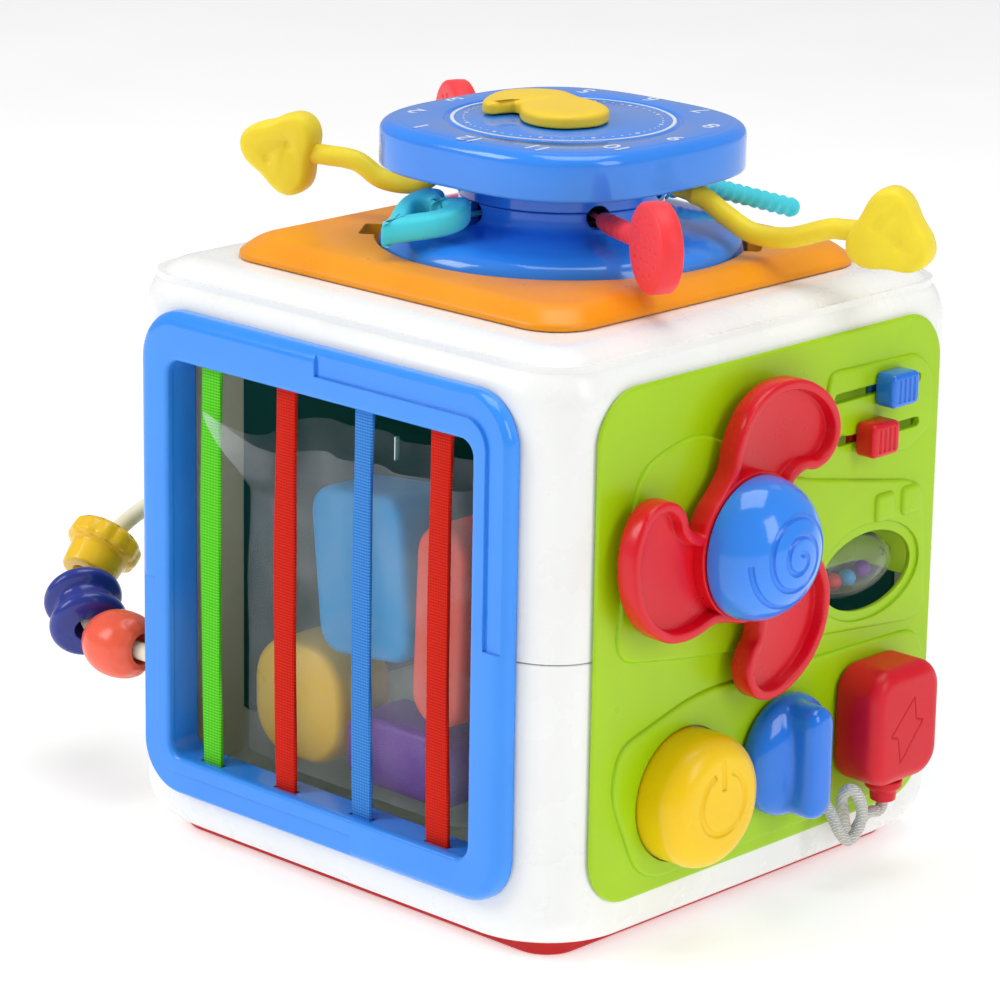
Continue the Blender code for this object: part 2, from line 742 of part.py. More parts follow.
def make_bead_loop(teal, cream, bead_looks):
    layers = panel_layers((-9.5, 77.0), 47.2, 57.2, 9.7, 62.7, 62.7)
    panel = plate("bead_panel", "left", layers, teal)
    spans = ((-25.0, -23.0), (77.0, 84.0), (PANEL_BACK - 3, PANEL_FRONT + 3))
    cut(panel, box_tool("cut_bead_slot", "left", spans))
    start = loop_frame(-90)[0]
    end = loop_frame(90)[0]
    face = -(PANEL_FRONT + GAP)
    path = [Vector((face, start.y, start.z)), Vector((face - 9, start.y, start.z))]
    path += [loop_frame(-90 + 180 * i / 18)[0] for i in range(19)]
    path += [Vector((face - 9, end.y, end.z)), Vector((face, end.y, end.z))]
    swept("bead_tube", path, TUBE_RADIUS, cream, 8)
    profiles = {
        "bead_yellow": [(7.2, -6.6), (8.0, -5.6), (8.0, 0.2), (9.8, 0.8), (10.2, 2.2), (10.2, 5.6), (9.2, 6.8)],
        "bead_blue": [
            (9.4, -7.3), (10.4, -6.0), (10.4, -3.6), (7.4, -2.0),
            (7.4, 2.0), (10.4, 3.6), (10.4, 6.0), (9.4, 7.3),
        ],
        "bead_orange": [
            (5.6, -8.8), (7.6, -7.0), (8.8, -3.6), (9.0, 0.0), (8.6, 3.4), (7.2, 6.4), (5.4, 8.6),
        ],
    }
    for name, outer in profiles.items():
        point, direction = loop_frame(BEAD_ANGLES[name])
        profile = outer + [(BEAD_BORE, outer[-1][1]), (BEAD_BORE, outer[0][1])]
        bead = turned(name, profile, point, direction, bead_looks[name], 18, closed=True)
        pivot(name + "_pivot", LOOP_CENTRE, [bead])


def make_back_panel(teal):
    layers = panel_layers((0.0, 77.0), 57.2, 57.2, 9.7, 62.7, 62.7)
    panel = plate("back_panel", "back", layers, teal)
    through = (PANEL_BACK - 3, PANEL_FRONT + 3)
    cut(panel, round_tool("cut_round_hole", (28, 0, 103), (0, 1, 0), 15.0, *through))
    cut(panel, box_tool("cut_square_hole", "back", ((15, 41), (90, 116), through), 2.0))
    triangle = [(-16.5, 36), (16.5, 36), (0, 65)]
    cut(panel, plate("cut_triangle_hole", "back", [(triangle, w) for w in through], None))


def make_top_plate(orange):
    layers = [
        (rounded_rect(57.3, 57.3, 12.0), SHELL_TOP + GAP),
        (rounded_rect(57.3, 57.3, 12.0), 151.0),
        (rounded_rect(56.5, 56.5, 11.4), 152.2),
        (rounded_rect(54.4, 54.4, 10.0), 153.9),
        (rounded_rect(51.5, 51.5, 8.5), 155.0),
    ]
    top = plate("top_plate", "top", layers, orange)
    axis = (TOY_X, TOY_Y, 0.0)
    cut(top, round_tool("cut_toy_opening", axis, (0, 0, 1), 46.3, 140.0, 160.0, 40))
    turn = math.radians(36)
    along = Vector((math.cos(turn), math.sin(turn), 0.0))
    across = Vector((-along.y, along.x, 0.0))
    corners = [(50, 6), (-50, 6), (-50, -6), (50, -6)]
    spot = Vector((TOY_X, TOY_Y, 0.0))
    rings = [[spot + along * a + across * b + UP * z for a, b in corners] for z in (140.0, 160.0)]
    cut(top, loft("cut_bayonet", rings, None))


def superellipse(half, count):
    def reach(turn):
        total = abs(math.cos(turn)) ** HEAD_POWER + abs(math.sin(turn)) ** HEAD_POWER
        return half / total ** (1 / HEAD_POWER)

    return polar_outline(reach, count, (TOY_X, TOY_Y))


def radial(azimuth, reach, z, across=0.0):
    """Point on the toy's frame: distance from its axis along an azimuth, height, and sideways offset."""
    turn = math.radians(azimuth)
    x = TOY_X + reach * math.cos(turn) - across * math.sin(turn)
    y = TOY_Y + reach * math.sin(turn) + across * math.cos(turn)
    return Vector((x, y, z))


def stem_order(stem, outline):
    """Starts the round stem at the point that faces the outline's first corner."""
    turn = math.atan2(outline[0][1] - TOY_Y, outline[0][0] - TOY_X) % (2 * math.pi)
    first = round(turn / (2 * math.pi) * len(stem)) % len(stem)
    return stem[first:] + stem[:first]


def make_toy(blue, yellow):
    axis = (TOY_X, TOY_Y, 0.0)
    profile = [
        (45.5, 149.8), (45.5, 154.3), (44.6, 157.0), (41.0, 159.2), (35.0, 160.4), (30.0, 161.0),
        (27.0, 161.8), (25.7, 163.7), (25.5, 166.5), (23.0, 166.5), (23.0, 161.0),
        (28.0, 158.4), (40.0, 156.6), (42.8, 153.6), (42.8, 149.8),
    ]
    base = turned("pull_base", profile, axis, (0, 0, 1), blue, 32, closed=True)
    count = 36

    def ring(radius, z):
        return [Vector((x, y, z)) for x, y in circle(radius, count, (TOY_X, TOY_Y))]

    def lobe(inset, z):
        return [Vector((x, y, z)) for x, y in superellipse(HEAD_HALF - inset, count)]

    rings = [
        ring(23.0, HEAD_TOP - 2.5),
        ring(23.0, 166.8),
        ring(NECK_RADIUS, 166.8),
        ring(NECK_RADIUS, HEAD_UNDER),
        lobe(1.2, HEAD_UNDER),
        lobe(0.0, HEAD_UNDER + 1.2),
        lobe(0.0, HEAD_TOP - 2.4),
        lobe(0.8, HEAD_TOP - 0.8),
        lobe(2.6, HEAD_TOP),
    ]
    head = loft("pull_head", rings, blue)
    cut(head, round_tool("cut_pointer_pin", axis, (0, 0, 1), 2.8, 175.0, 190.0, 12))
    for name, azimuth, z, radius in (
        ("cut_yellow_hole", YELLOW_AZIMUTH, YELLOW_Z, 2.6),
        ("cut_red_hole", RED_AZIMUTH, RED_Z, STRING_HOLE),
        ("cut_cyan_hole", CYAN_AZIMUTH, CYAN_Z, STRING_HOLE),
    ):
        direction = radial(azimuth, 1.0, 0.0) - radial(azimuth, 0.0, 0.0)
        tool = round_tool(name, radial(azimuth, 0.0, z), direction, radius, -33.0, 33.0, 12)
        cut(head, tool)
        if name != "cut_yellow_hole":
            cut(base, tool)

    outline = closed_curve(POINTER_CORNERS, 2)
    middle = (-1.0, 2.5)
    layers = []
    for factor, z in ((0.95, 185.3), (1.0, 186.1), (1.0, 187.2), (0.96, 188.3), (0.88, POINTER_TOP)):
        ring = [(middle[0] + (u - middle[0]) * factor, middle[1] + (v - middle[1]) * factor) for u, v in outline]
        layers.append((ring, z))
    stem = circle(2.5, len(outline), (TOY_X, TOY_Y))
    stem = stem_order(stem, outline)
    pointer = plate("clock_pointer", "top", [(stem, 179.5), (stem, 185.3), *layers], yellow)
    lift = pivot("toy_pivot", (TOY_X, TOY_Y, 150.0), [base, head])
    pivot("pointer_pivot", (TOY_X, TOY_Y, 185.0), [pointer], lift)
    return lift


def arm(azimuth, points):
    return [radial(azimuth, reach, z) for reach, z in points]


def string_piece(name, azimuth, left, right, level, colour_look):
    """Silicone string: thick arms outside the neck, a thin level run through it."""
    thin = [(-27.0, level), (-12.0, level), (12.0, level), (27.0, level)]
    slim = THICK_STRING * 0.8
    one = smooth_path(arm(azimuth, left), 2)
    middle = arm(azimuth, thin)
    other = smooth_path(arm(azimuth, right), 2)
    radii = [THICK_STRING] * (len(one) - 1) + [slim]
    radii += [THIN_STRING] * len(middle)
    radii += [slim] + [THICK_STRING] * (len(other) - 1)
    return swept(name, one + middle + other, radii, colour_look, 8)


def end_plate(name, azimuth, reach_at, z, outline, half_thick, colour_look, soft=1.4):
    """Rounded flat end standing in the vertical plane of its string."""
    rings = []
    for inset, side in (
        (soft, -half_thick), (soft * 0.3, -half_thick + soft * 0.6), (0.0, 0.0),
        (soft * 0.3, half_thick - soft * 0.6), (soft, half_thick),
    ):
        ring = []
        for u, v in outline:
            length = math.hypot(u, v)
            factor = (length - inset) / length
            ring.append(radial(azimuth, reach_at + u * factor, z + v * factor, side))
        rings.append(ring)
    return loft(name, rings, colour_look)


def heart(scale, count):
    points = []
    for i in range(count):
        t = 2 * math.pi * (i + 0.5) / count
        across = 16 * math.sin(t) ** 3
        along = 13 * math.cos(t) - 5 * math.cos(2 * t) - 2 * math.cos(3 * t) - math.cos(4 * t)
        points.append((-along * scale, across * scale))
    return points


def make_strings(yellow, red, cyan, toy):
    left = [(-64.5, 169.5), (-56.2, 168.8), (-48.8, 164.9), (-39.5, 164.8), (-33.5, 168.6)]
    right = [
        (33.5, 169.6), (37.6, 168.8), (43.5, 165.0), (50.6, 161.4), (59.7, 161.2), (69.8, 164.4), (74.0, 164.7),
    ]
    string = string_piece("yellow_string", YELLOW_AZIMUTH, left, right, YELLOW_Z, yellow)
    ends = []
    for name, azimuth, spot, z, turned_by in (
        ("yellow_end_left", YELLOW_AZIMUTH + 180, 76.4, 169.7, 10.0),
        ("yellow_end_right", YELLOW_AZIMUTH, 85.8, 164.9, -30.0),
    ):
        outline = polar_outline(
            lambda turn: 10.3 + 1.2 * math.cos(3 * (turn - math.radians(turned_by))), 20
        )
        ends.append(end_plate(name, azimuth, spot, z, outline, 4.0, yellow))
    axis = radial(0, 0, YELLOW_Z)
    pivot("yellow_pivot", axis, [string, *ends], toy)

    left = [(-68.6, 169.0), (-60.0, 168.2), (-46.0, 166.2), (-33.0, 165.5), (-29.5, 165.5)]
    right = [(28.5, 165.5), (36.0, 165.6), (44.0, 166.0), (52.6, 166.5)]
    string = string_piece("red_string", RED_AZIMUTH, left, right, RED_Z, red)
    disc = circle(11.0, 22)
    front = end_plate("red_paddle_front", RED_AZIMUTH, 64.0, 166.5, disc, 3.0, red, 1.2)
    back = end_plate("red_paddle_back", RED_AZIMUTH + 180, 80.0, 169.0, disc, 3.0, red, 1.2)
    pivot("red_pivot", radial(0, 0, RED_Z), [string, front, back], toy)

    left = [(-72.7, 154.6), (-62.5, 157.8), (-51.0, 161.4), (-42.0, 164.4), (-33.0, 163.9), (-29.5, 163.8)]
    right = [(28.0, 163.8), (29.5, 163.8), (31.6, 163.9)]
    string = string_piece("cyan_string", CYAN_AZIMUTH, left, right, CYAN_Z, cyan)
    slope = math.tan(math.radians(HEART_TILT))
    rings = []
    for grow, lift in ((0.9, -3.0), (1.0, -1.9), (1.0, 1.9), (0.9, 3.0), (0.5, 3.0), (0.47, 0.0), (0.5, -3.0)):
        ring = []
        for u, v in heart(HEART_SCALE * grow, 26):
            ring.append(radial(CYAN_AZIMUTH, HEART_REACH + u, HEART_Z + lift - u * slope, v))
        rings.append(ring)
    piece = loft("cyan_heart", rings, cyan, closed=True)
    pivot("cyan_pivot", radial(0, 0, CYAN_Z), [string, piece], toy)


def make_bag(film, block_looks):
    """Open poly bag with the four sorting blocks, standing behind the bands."""
    spans = {
        "block_cyan": ((-44.0, 8.0), (43.0, 105.0), (41.0, 60.0)),
        "block_yellow": ((-44.0, -20.0), (25.0, 42.4), (41.0, 60.0)),
        "block_purple": ((-19.4, 8.0), (25.0, 42.4), (41.0, 60.0)),
        "block_orange": ((8.6, 30.5), (25.0, 100.0), (41.0, 60.0)),
    }
    for name, span in spans.items():
        block(name, "front", span, block_looks[name], 4.0, 1.6)
    inner = rounded_rect(39.2, 10.6, 4.4, (-5.9, -50.5))
    outer = rounded_rect(39.8, 11.2, 5.0, (-5.9, -50.5))
    layers = [(inner, 24.0), (inner, 109.0), (outer, 109.0), (outer, 23.4)]
    plate("block_bag", "top", layers, film)


clear_scene()
PLASTIC = {
    "white": look("white_plastic", (0.90, 0.89, 0.86), 0.3),
    "frame_blue": look("frame_blue_plastic", (0.02, 0.21, 0.95), 0.25),
    "toy_blue": look("toy_blue_plastic", (0.06, 0.26, 0.80), 0.25),
    "orange": look("orange_plastic", (1.0, 0.36, 0.02), 0.35),
    "lime": look("lime_plastic", (0.38, 0.68, 0.0), 0.35),
    "fan_red": look("fan_red_plastic", (0.80, 0.0, 0.012), 0.3),
    "button_yellow": look("button_yellow_plastic", (1.0, 0.55, 0.005), 0.3),
    "red": look("base_red_plastic", (0.55, 0.01, 0.01), 0.35),
    "teal": look("teal_plastic", (0.0, 0.16, 0.16), 0.4),
    "cream": look("cream_plastic", (0.85, 0.82, 0.72), 0.4),
    "grey": look("grey_plastic", (0.35, 0.35, 0.36), 0.5),
    "steel": look("spring_steel", (0.6, 0.6, 0.6), 0.3, 1.0),
    "clear": look("clear_plastic", (0.9, 0.95, 1.0), 0.1, 0.0, 0.35),
    "film": look("frosted_film", (0.92, 0.94, 0.95), 0.5, 0.0, 0.45),
    "cord_white": look("cord_white", (0.86, 0.86, 0.82), 0.8),
    "silicone_yellow": look("silicone_yellow", (1.0, 0.76, 0.02), 0.5),
    "silicone_red": look("silicone_red", (1.0, 0.07, 0.07), 0.5),
    "silicone_cyan": look("silicone_cyan", (0.05, 0.75, 0.85), 0.5),
    "bead_yellow": look("bead_yellow_plastic", (0.95, 0.58, 0.01), 0.3),
    "bead_blue": look("bead_blue_plastic", (0.02, 0.04, 0.26), 0.3),
    "bead_orange": look("bead_orange_plastic", (1.0, 0.14, 0.07), 0.35),
    "violet": look("violet_plastic", (0.25, 0.05, 0.45), 0.35),
    "sky": look("sky_plastic", (0.03, 0.55, 0.80), 0.35),
}
BAND_LOOKS = {
    "band_green": look("band_green_weave", (0.19, 0.85, 0.03), 0.8),
    "band_red_left": look("band_red_weave", (0.85, 0.03, 0.0), 0.8),
    "band_blue": look("band_blue_weave", (0.08, 0.37, 0.90), 0.8),
    "band_red_right": look("band_orange_red_weave", (0.85, 0.03, 0.0), 0.8),
}
make_shells(PLASTIC["white"])
make_base(PLASTIC["red"])
make_window(PLASTIC["frame_blue"], BAND_LOOKS)
make_busy_panel(PLASTIC["lime"])
make_fan(PLASTIC["fan_red"], PLASTIC["toy_blue"], PLASTIC["grey"])
make_button(PLASTIC["button_yellow"], PLASTIC["grey"], PLASTIC["steel"])
make_knob(PLASTIC["toy_blue"], PLASTIC["grey"])
make_sliders(PLASTIC["toy_blue"], PLASTIC["fan_red"])
RATTLE_LOOKS = {
    "rattle_bead_1": PLASTIC["bead_yellow"],
    "rattle_bead_2": PLASTIC["fan_red"],
    "rattle_bead_3": PLASTIC["sky"],
    "rattle_bead_4": PLASTIC["violet"],
}
make_rattle(PLASTIC["clear"], RATTLE_LOOKS, PLASTIC["grey"])
make_key(PLASTIC["fan_red"], PLASTIC["cord_white"], PLASTIC["grey"])
make_bead_loop(PLASTIC["teal"], PLASTIC["cream"], PLASTIC)
make_back_panel(PLASTIC["teal"])
make_top_plate(PLASTIC["orange"])
TOY = make_toy(PLASTIC["toy_blue"], PLASTIC["button_yellow"])
make_strings(PLASTIC["silicone_yellow"], PLASTIC["silicone_red"], PLASTIC["silicone_cyan"], TOY)
BLOCK_LOOKS = {
    "block_cyan": PLASTIC["sky"],
    "block_yellow": PLASTIC["button_yellow"],
    "block_purple": PLASTIC["violet"],
    "block_orange": PLASTIC["bead_orange"],
}
make_bag(PLASTIC["film"], BLOCK_LOOKS)
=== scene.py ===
"""Finished look of the baby activity cube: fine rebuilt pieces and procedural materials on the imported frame.

Sizes are in millimetres and become metres where the meshes are made.
"""

import math
import random

import bmesh
import bpy
from mathutils import Matrix, Vector


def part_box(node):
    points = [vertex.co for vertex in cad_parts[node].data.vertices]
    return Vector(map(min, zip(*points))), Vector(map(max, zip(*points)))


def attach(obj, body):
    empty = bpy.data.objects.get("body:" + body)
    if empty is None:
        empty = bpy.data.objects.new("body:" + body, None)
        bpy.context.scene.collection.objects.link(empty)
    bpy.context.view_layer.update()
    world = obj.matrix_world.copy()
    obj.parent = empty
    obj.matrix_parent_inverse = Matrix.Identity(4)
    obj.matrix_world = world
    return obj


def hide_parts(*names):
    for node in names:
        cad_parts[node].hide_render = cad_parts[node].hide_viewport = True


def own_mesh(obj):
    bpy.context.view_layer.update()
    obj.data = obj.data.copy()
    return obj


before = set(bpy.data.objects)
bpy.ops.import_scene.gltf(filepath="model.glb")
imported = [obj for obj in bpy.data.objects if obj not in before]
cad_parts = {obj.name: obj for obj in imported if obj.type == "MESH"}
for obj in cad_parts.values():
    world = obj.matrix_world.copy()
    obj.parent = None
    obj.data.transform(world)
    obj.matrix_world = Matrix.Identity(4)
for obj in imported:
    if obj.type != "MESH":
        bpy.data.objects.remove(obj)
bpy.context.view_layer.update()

MM = 0.001
UP = Vector((0.0, 0.0, 1.0))
SIDES = {
    "front": (Vector((1, 0, 0)), UP, Vector((0, -1, 0))),
    "right": (Vector((0, 1, 0)), UP, Vector((1, 0, 0))),
    "left": (Vector((0, -1, 0)), UP, Vector((-1, 0, 0))),
    "back": (Vector((-1, 0, 0)), UP, Vector((0, 1, 0))),
    "top": (Vector((1, 0, 0)), Vector((0, 1, 0)), UP),
}

# Camera, made first: a view from the front right, a little from above
CAMERA_AZIMUTH = 43.34
CAMERA_ELEVATION = 16.29
CAMERA_ROLL = 0.96
CAMERA_TARGET = (-0.00762, -0.00709, 0.08687)
CAMERA_DISTANCE = 1.0727
CAMERA_LENS = 152.9


def make_camera():
    azimuth = math.radians(CAMERA_AZIMUTH)
    elevation = math.radians(CAMERA_ELEVATION)
    roll = math.radians(CAMERA_ROLL)
    away = Vector(
        (
            math.sin(azimuth) * math.cos(elevation),
            -math.cos(azimuth) * math.cos(elevation),
            math.sin(elevation),
        )
    )
    right = (-away).cross(UP).normalized()
    up = right.cross(-away)
    rolled_right = right * math.cos(roll) + up * math.sin(roll)
    rolled_up = up * math.cos(roll) - right * math.sin(roll)
    data = bpy.data.cameras.new("camera")
    data.lens = CAMERA_LENS
    data.sensor_width = 36.0
    camera = bpy.data.objects.new("camera", data)
    bpy.context.collection.objects.link(camera)
    turn = Matrix((rolled_right, rolled_up, away)).transposed()
    camera.matrix_world = Matrix.Translation(Vector(CAMERA_TARGET) + away * CAMERA_DISTANCE) @ turn.to_4x4()
    bpy.context.scene.camera = camera


make_camera()


# Shape helpers


def place(side, u, v, w):
    across, up, out = SIDES[side]
    return across * u + up * v + out * w


def circle(radius, count, centre=(0.0, 0.0)):
    return [around(centre, radius, 2 * math.pi * i / count) for i in range(count)]


def rounded_rect(half_u, half_v, radius, centre=(0.0, 0.0), steps=12):
    points = []
    for corner in range(4):
        start = corner * math.pi / 2
        mid_u = (half_u - radius) * (1 if corner in (0, 3) else -1)
        mid_v = (half_v - radius) * (1 if corner in (0, 1) else -1)
        for i in range(steps + 1):
            turn = start + math.pi / 2 * i / steps
            points.append(around((centre[0] + mid_u, centre[1] + mid_v), radius, turn))
    return points


def around(centre, radius, turn):
    """The point at an angle on a circle."""
    return centre[0] + radius * math.cos(turn), centre[1] + radius * math.sin(turn)


def polar_outline(reach, count, centre=(0.0, 0.0)):
    points = []
    for i in range(count):
        turn = 2 * math.pi * i / count
        points.append(around(centre, reach(turn), turn))
    return points


def inset_outline(outline, amount):
    """The outline moved inward along its own normals; counter-clockwise outlines."""
    if abs(amount) < 1e-9:
        return list(outline)
    made = []
    count = len(outline)
    for i in range(count):
        before = Vector(outline[i - 1])
        here = Vector(outline[i])
        after = Vector(outline[(i + 1) % count])
        run = (after - here).normalized() + (here - before).normalized()
        run = run.normalized() if run.length > 1e-9 else (after - here).normalized()
        made.append((here.x - run.y * amount, here.y + run.x * amount))
    return made


def turns_left(outline):
    """1 where the outline runs counter-clockwise, otherwise -1."""
    area = sum(a[0] * b[1] - b[0] * a[1] for a, b in zip(outline, outline[1:] + outline[:1]))
    return 1 if area > 0 else -1


def ring_on(side, outline, w):
    return [place(side, u, v, w) for u, v in outline]


def finish_mesh(name, made, colour_look, smooth_angle=35.0):
    bmesh.ops.recalc_face_normals(made, faces=made.faces)
    mesh = bpy.data.meshes.new(name)
    made.to_mesh(mesh)
    made.free()
    piece = bpy.data.objects.new(name, mesh)
    bpy.context.collection.objects.link(piece)
    if colour_look is not None:
        mesh.materials.append(colour_look)
    mesh.shade_smooth()
    mesh.set_sharp_from_angle(angle=math.radians(smooth_angle))
    return piece


def loft(name, rings, colour_look, closed=False, smooth_angle=35.0):
    """Skins equal rings of points in millimetres. A ring of one point is a tip. Open lofts get end caps."""
    made = bmesh.new()
    rows = [[made.verts.new(point * MM) for point in ring] for ring in rings]
    pairs = list(zip(rows, rows[1:]))
    if closed:
        pairs.append((rows[-1], rows[0]))
    for low, high in pairs:
        count = max(len(low), len(high))
        for i in range(count):
            j = (i + 1) % count
            if len(low) == 1:
                made.faces.new((low[0], high[j], high[i]))
            elif len(high) == 1:
                made.faces.new((low[i], low[j], high[0]))
            else:
                made.faces.new((low[i], low[j], high[j], high[i]))
    if not closed:
        if len(rows[0]) > 1:
            made.faces.new(list(reversed(rows[0])))
        if len(rows[-1]) > 1:
            made.faces.new(rows[-1])
    return finish_mesh(name, made, colour_look, smooth_angle)


def plate(name, side, layers, colour_look, smooth_angle=35.0):
    return loft(name, [ring_on(side, outline, w) for outline, w in layers], colour_look, False, smooth_angle)


def rounded_layers(outline, bottom, top, bottom_radius, top_radius, steps=6):
    """Layers of a plate whose bottom and top edges are rounded."""
    layers = []
    if bottom_radius > 0:
        for i in range(steps + 1):
            turn = math.pi / 2 * i / steps
            inset = bottom_radius * (1 - math.sin(turn))
            layers.append((inset_outline(outline, inset), bottom + bottom_radius * (1 - math.cos(turn))))
    else:
        layers.append((outline, bottom))
    for i in range(steps + 1):
        turn = math.pi / 2 * i / steps
        inset = top_radius * (1 - math.cos(turn))
        layers.append((inset_outline(outline, inset), top - top_radius * (1 - math.sin(turn))))
    return layers


def axes_across(axis):
    axis = axis.normalized()
    helper = UP if abs(axis.dot(UP)) < 0.9 else Vector((1, 0, 0))
    first = axis.cross(helper).normalized()
    return first, axis.cross(first).normalized()


def turned(name, profile, origin, axis, colour_look, count=72, closed=False, smooth_angle=35.0, swing=None):
    """Body of revolution from (radius, along the axis) points. swing(turn, radius, along) can wave it."""
    axis = Vector(axis).normalized()
    first, second = axes_across(axis)
    rings = []
    for radius, along in profile:
        centre = Vector(origin) + axis * along
        if radius < 1e-6:
            rings.append([centre])
            continue
        ring = []
        for i in range(count):
            turn = 2 * math.pi * i / count
            reach = radius if swing is None else swing(turn, radius, along)
            ring.append(centre + first * (reach * math.cos(turn)) + second * (reach * math.sin(turn)))
        rings.append(ring)
    return loft(name, rings, colour_look, closed, smooth_angle)


def on_right(centre):
    return (0.0, centre[0], centre[1])


def ball_profile(radius, widest, step):
    """Half circle for a turned ball, with its tips left as points."""
    made = [(0.0, -radius)]
    made += [around((0.0, 0.0), radius, math.radians(angle)) for angle in range(-widest, widest + 1, step)]
    return made + [(0.0, radius)]


def round_profile(points, steps=5):
    """Softens the corners of a turned profile of (radius, along) or (radius, along, corner radius) points."""
    made = []
    for i, point in enumerate(points):
        here = Vector(point[:2])
        soft = point[2] if len(point) > 2 else 0.0
        if soft <= 0 or i in (0, len(points) - 1):
            made.append((here.x, here.y))
            continue
        before = Vector(points[i - 1][:2])
        after = Vector(points[i + 1][:2])
        back = (before - here)
        ahead = (after - here)
        reach = min(soft, back.length * 0.48, ahead.length * 0.48)
        start = here + back.normalized() * reach
        end = here + ahead.normalized() * reach
        for k in range(steps + 1):
            t = k / steps
            spot = start * (1 - t) ** 2 + here * (2 * t * (1 - t)) + end * t * t
            made.append((spot.x, spot.y))
    return made


def between(a, b, c, d, t):
    """A point on the smooth curve from b to c, whose neighbours are a and d."""
    bend = (a * 2 - b * 5 + c * 4 - d) * t * t + (b * 3 - a - c * 3 + d) * t * t * t
    return (b * 2 + (c - a) * t + bend) * 0.5


def smooth_path(points, steps):
    ends = [points[0] * 2 - points[1], *points, points[-1] * 2 - points[-2]]
    made = []
    for a, b, c, d in zip(ends, ends[1:], ends[2:], ends[3:]):
        for i in range(steps):
            t = i / steps
            made.append(between(a, b, c, d, t))
    made.append(points[-1])
    return made


def smooth_closed(points, steps):
    made = []
    count = len(points)
    for i in range(count):
        a, b, c, d = points[i - 1], points[i], points[(i + 1) % count], points[(i + 2) % count]
        for k in range(steps):
            t = k / steps
            made.append(between(a, b, c, d, t))
    return made


def swept(name, path, radii, colour_look, count=20):
    """Round tube along a path. radii is a number, a list, or radius(step, turn)."""
    rings = []
    across = None
    for i, point in enumerate(path):
        ahead = path[min(i + 1, len(path) - 1)]
        behind = path[max(i - 1, 0)]
        along = (ahead - behind).normalized()
        if across is None:
            across = axes_across(along)[0]
        across = (across - along * across.dot(along)).normalized()
        over = along.cross(across)
        ring = []
        for k in range(count):
            turn = 2 * math.pi * k / count
            if callable(radii):
                radius = radii(i, turn)
            else:
                radius = radii[i] if isinstance(radii, list) else radii
            ring.append(point + across * (radius * math.cos(turn)) + over * (radius * math.sin(turn)))
        rings.append(ring)
    return loft(name, rings, colour_look, smooth_angle=60.0)


def boolean(piece, tool, operation):
    tool.hide_render = True
    tool.hide_viewport = True
    tool.display_type = "WIRE"
    step = piece.modifiers.new(tool.name, "BOOLEAN")
    step.operation = operation
    step.solver = "EXACT"
    step.object = tool


def apply_steps(piece, smooth_angle=35.0):
    """Bakes a piece's modifiers into its mesh and removes its cutters."""
    tools = [step.object for step in piece.modifiers if step.type == "BOOLEAN"]
    graph = bpy.context.evaluated_depsgraph_get()
    graph.update()
    baked = bpy.data.meshes.new_from_object(piece.evaluated_get(graph))
    piece.modifiers.clear()
    old = piece.data
    piece.data = baked
    baked.shade_smooth()
    baked.set_sharp_from_angle(angle=math.radians(smooth_angle))
    bpy.data.meshes.remove(old)
    for tool in tools:
        if tool.name in bpy.data.objects:
            bpy.data.objects.remove(tool, do_unlink=True)
    return piece


def cut(piece, *tools):
    for tool in tools:
        boolean(piece, tool, "DIFFERENCE")


def round_tool(name, origin, axis, radius, start, end, count=64):
    profile = [(0.0, start), (radius, start), (radius, end), (0.0, end)]
    return turned(name, profile, origin, axis, None, count)


def box_tool(name, side, spans, radius=0.0):
    (u0, u1), (v0, v1), (w0, w1) = spans
    centre = ((u0 + u1) / 2, (v0 + v1) / 2)
    half_u = (u1 - u0) / 2
    half_v = (v1 - v0) / 2
    outline = rounded_rect(half_u, half_v, max(radius, 0.05), centre, steps=10 if radius > 0 else 1)
    return plate(name, side, [(outline, w0), (outline, w1)], None)


def stand_for(piece, body, *nodes):
    """The piece rides on a body and stands for these CAD nodes, which are hidden."""
    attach(piece, body)
    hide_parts(*nodes)


def detail(piece, body):
    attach(piece, body)


# Materials


def srgb(*levels):
    made = []
    for level in levels:
        value = level / 255
        made.append(value / 12.92 if value <= 0.04045 else ((value + 0.055) / 1.055) ** 2.4)
    return tuple(made)


def adjust(node, values):
    for socket, value in values.items():
        node.inputs[socket].default_value = value


def new_look(name):
    made = bpy.data.materials.new(name)
    made.use_nodes = True
    return made, made.node_tree.nodes, made.node_tree.links, made.node_tree.nodes["Principled BSDF"]


def noise(nodes, links, vector, scale, detail_level=3.0, roughness=0.5):
    made = nodes.new("ShaderNodeTexNoise")
    adjust(made, {"Scale": scale, "Detail": detail_level, "Roughness": roughness})
    links.new(vector, made.inputs["Vector"])
    return made.outputs["Fac"]


def spread(nodes, links, value, low, high, start=0.3, end=0.7):
    made = nodes.new("ShaderNodeMapRange")
    adjust(made, {"From Min": start, "From Max": end, "To Min": low, "To Max": high})
    links.new(value, made.inputs["Value"])
    return made.outputs["Result"]


def blend_colours(nodes, links, fac, one, two):
    made = nodes.new("ShaderNodeMix")
    made.data_type = "RGBA"
    links.new(fac, made.inputs["Factor"])
    for socket, value in ((made.inputs["A"], one), (made.inputs["B"], two)):
        if isinstance(value, tuple):
            socket.default_value = (*value[:3], 1.0)
        else:
            links.new(value, socket)
    return made.outputs["Result"]


def bump(nodes, links, height, strength, distance, normal=None):
    made = nodes.new("ShaderNodeBump")
    adjust(made, {"Strength": strength, "Distance": distance})
    links.new(height, made.inputs["Height"])
    if normal is not None:
        links.new(normal, made.inputs["Normal"])
    return made.outputs["Normal"]


# Plastic mottled no more than this is polished: no waves and no rubbed edges
POLISHED = 0.02


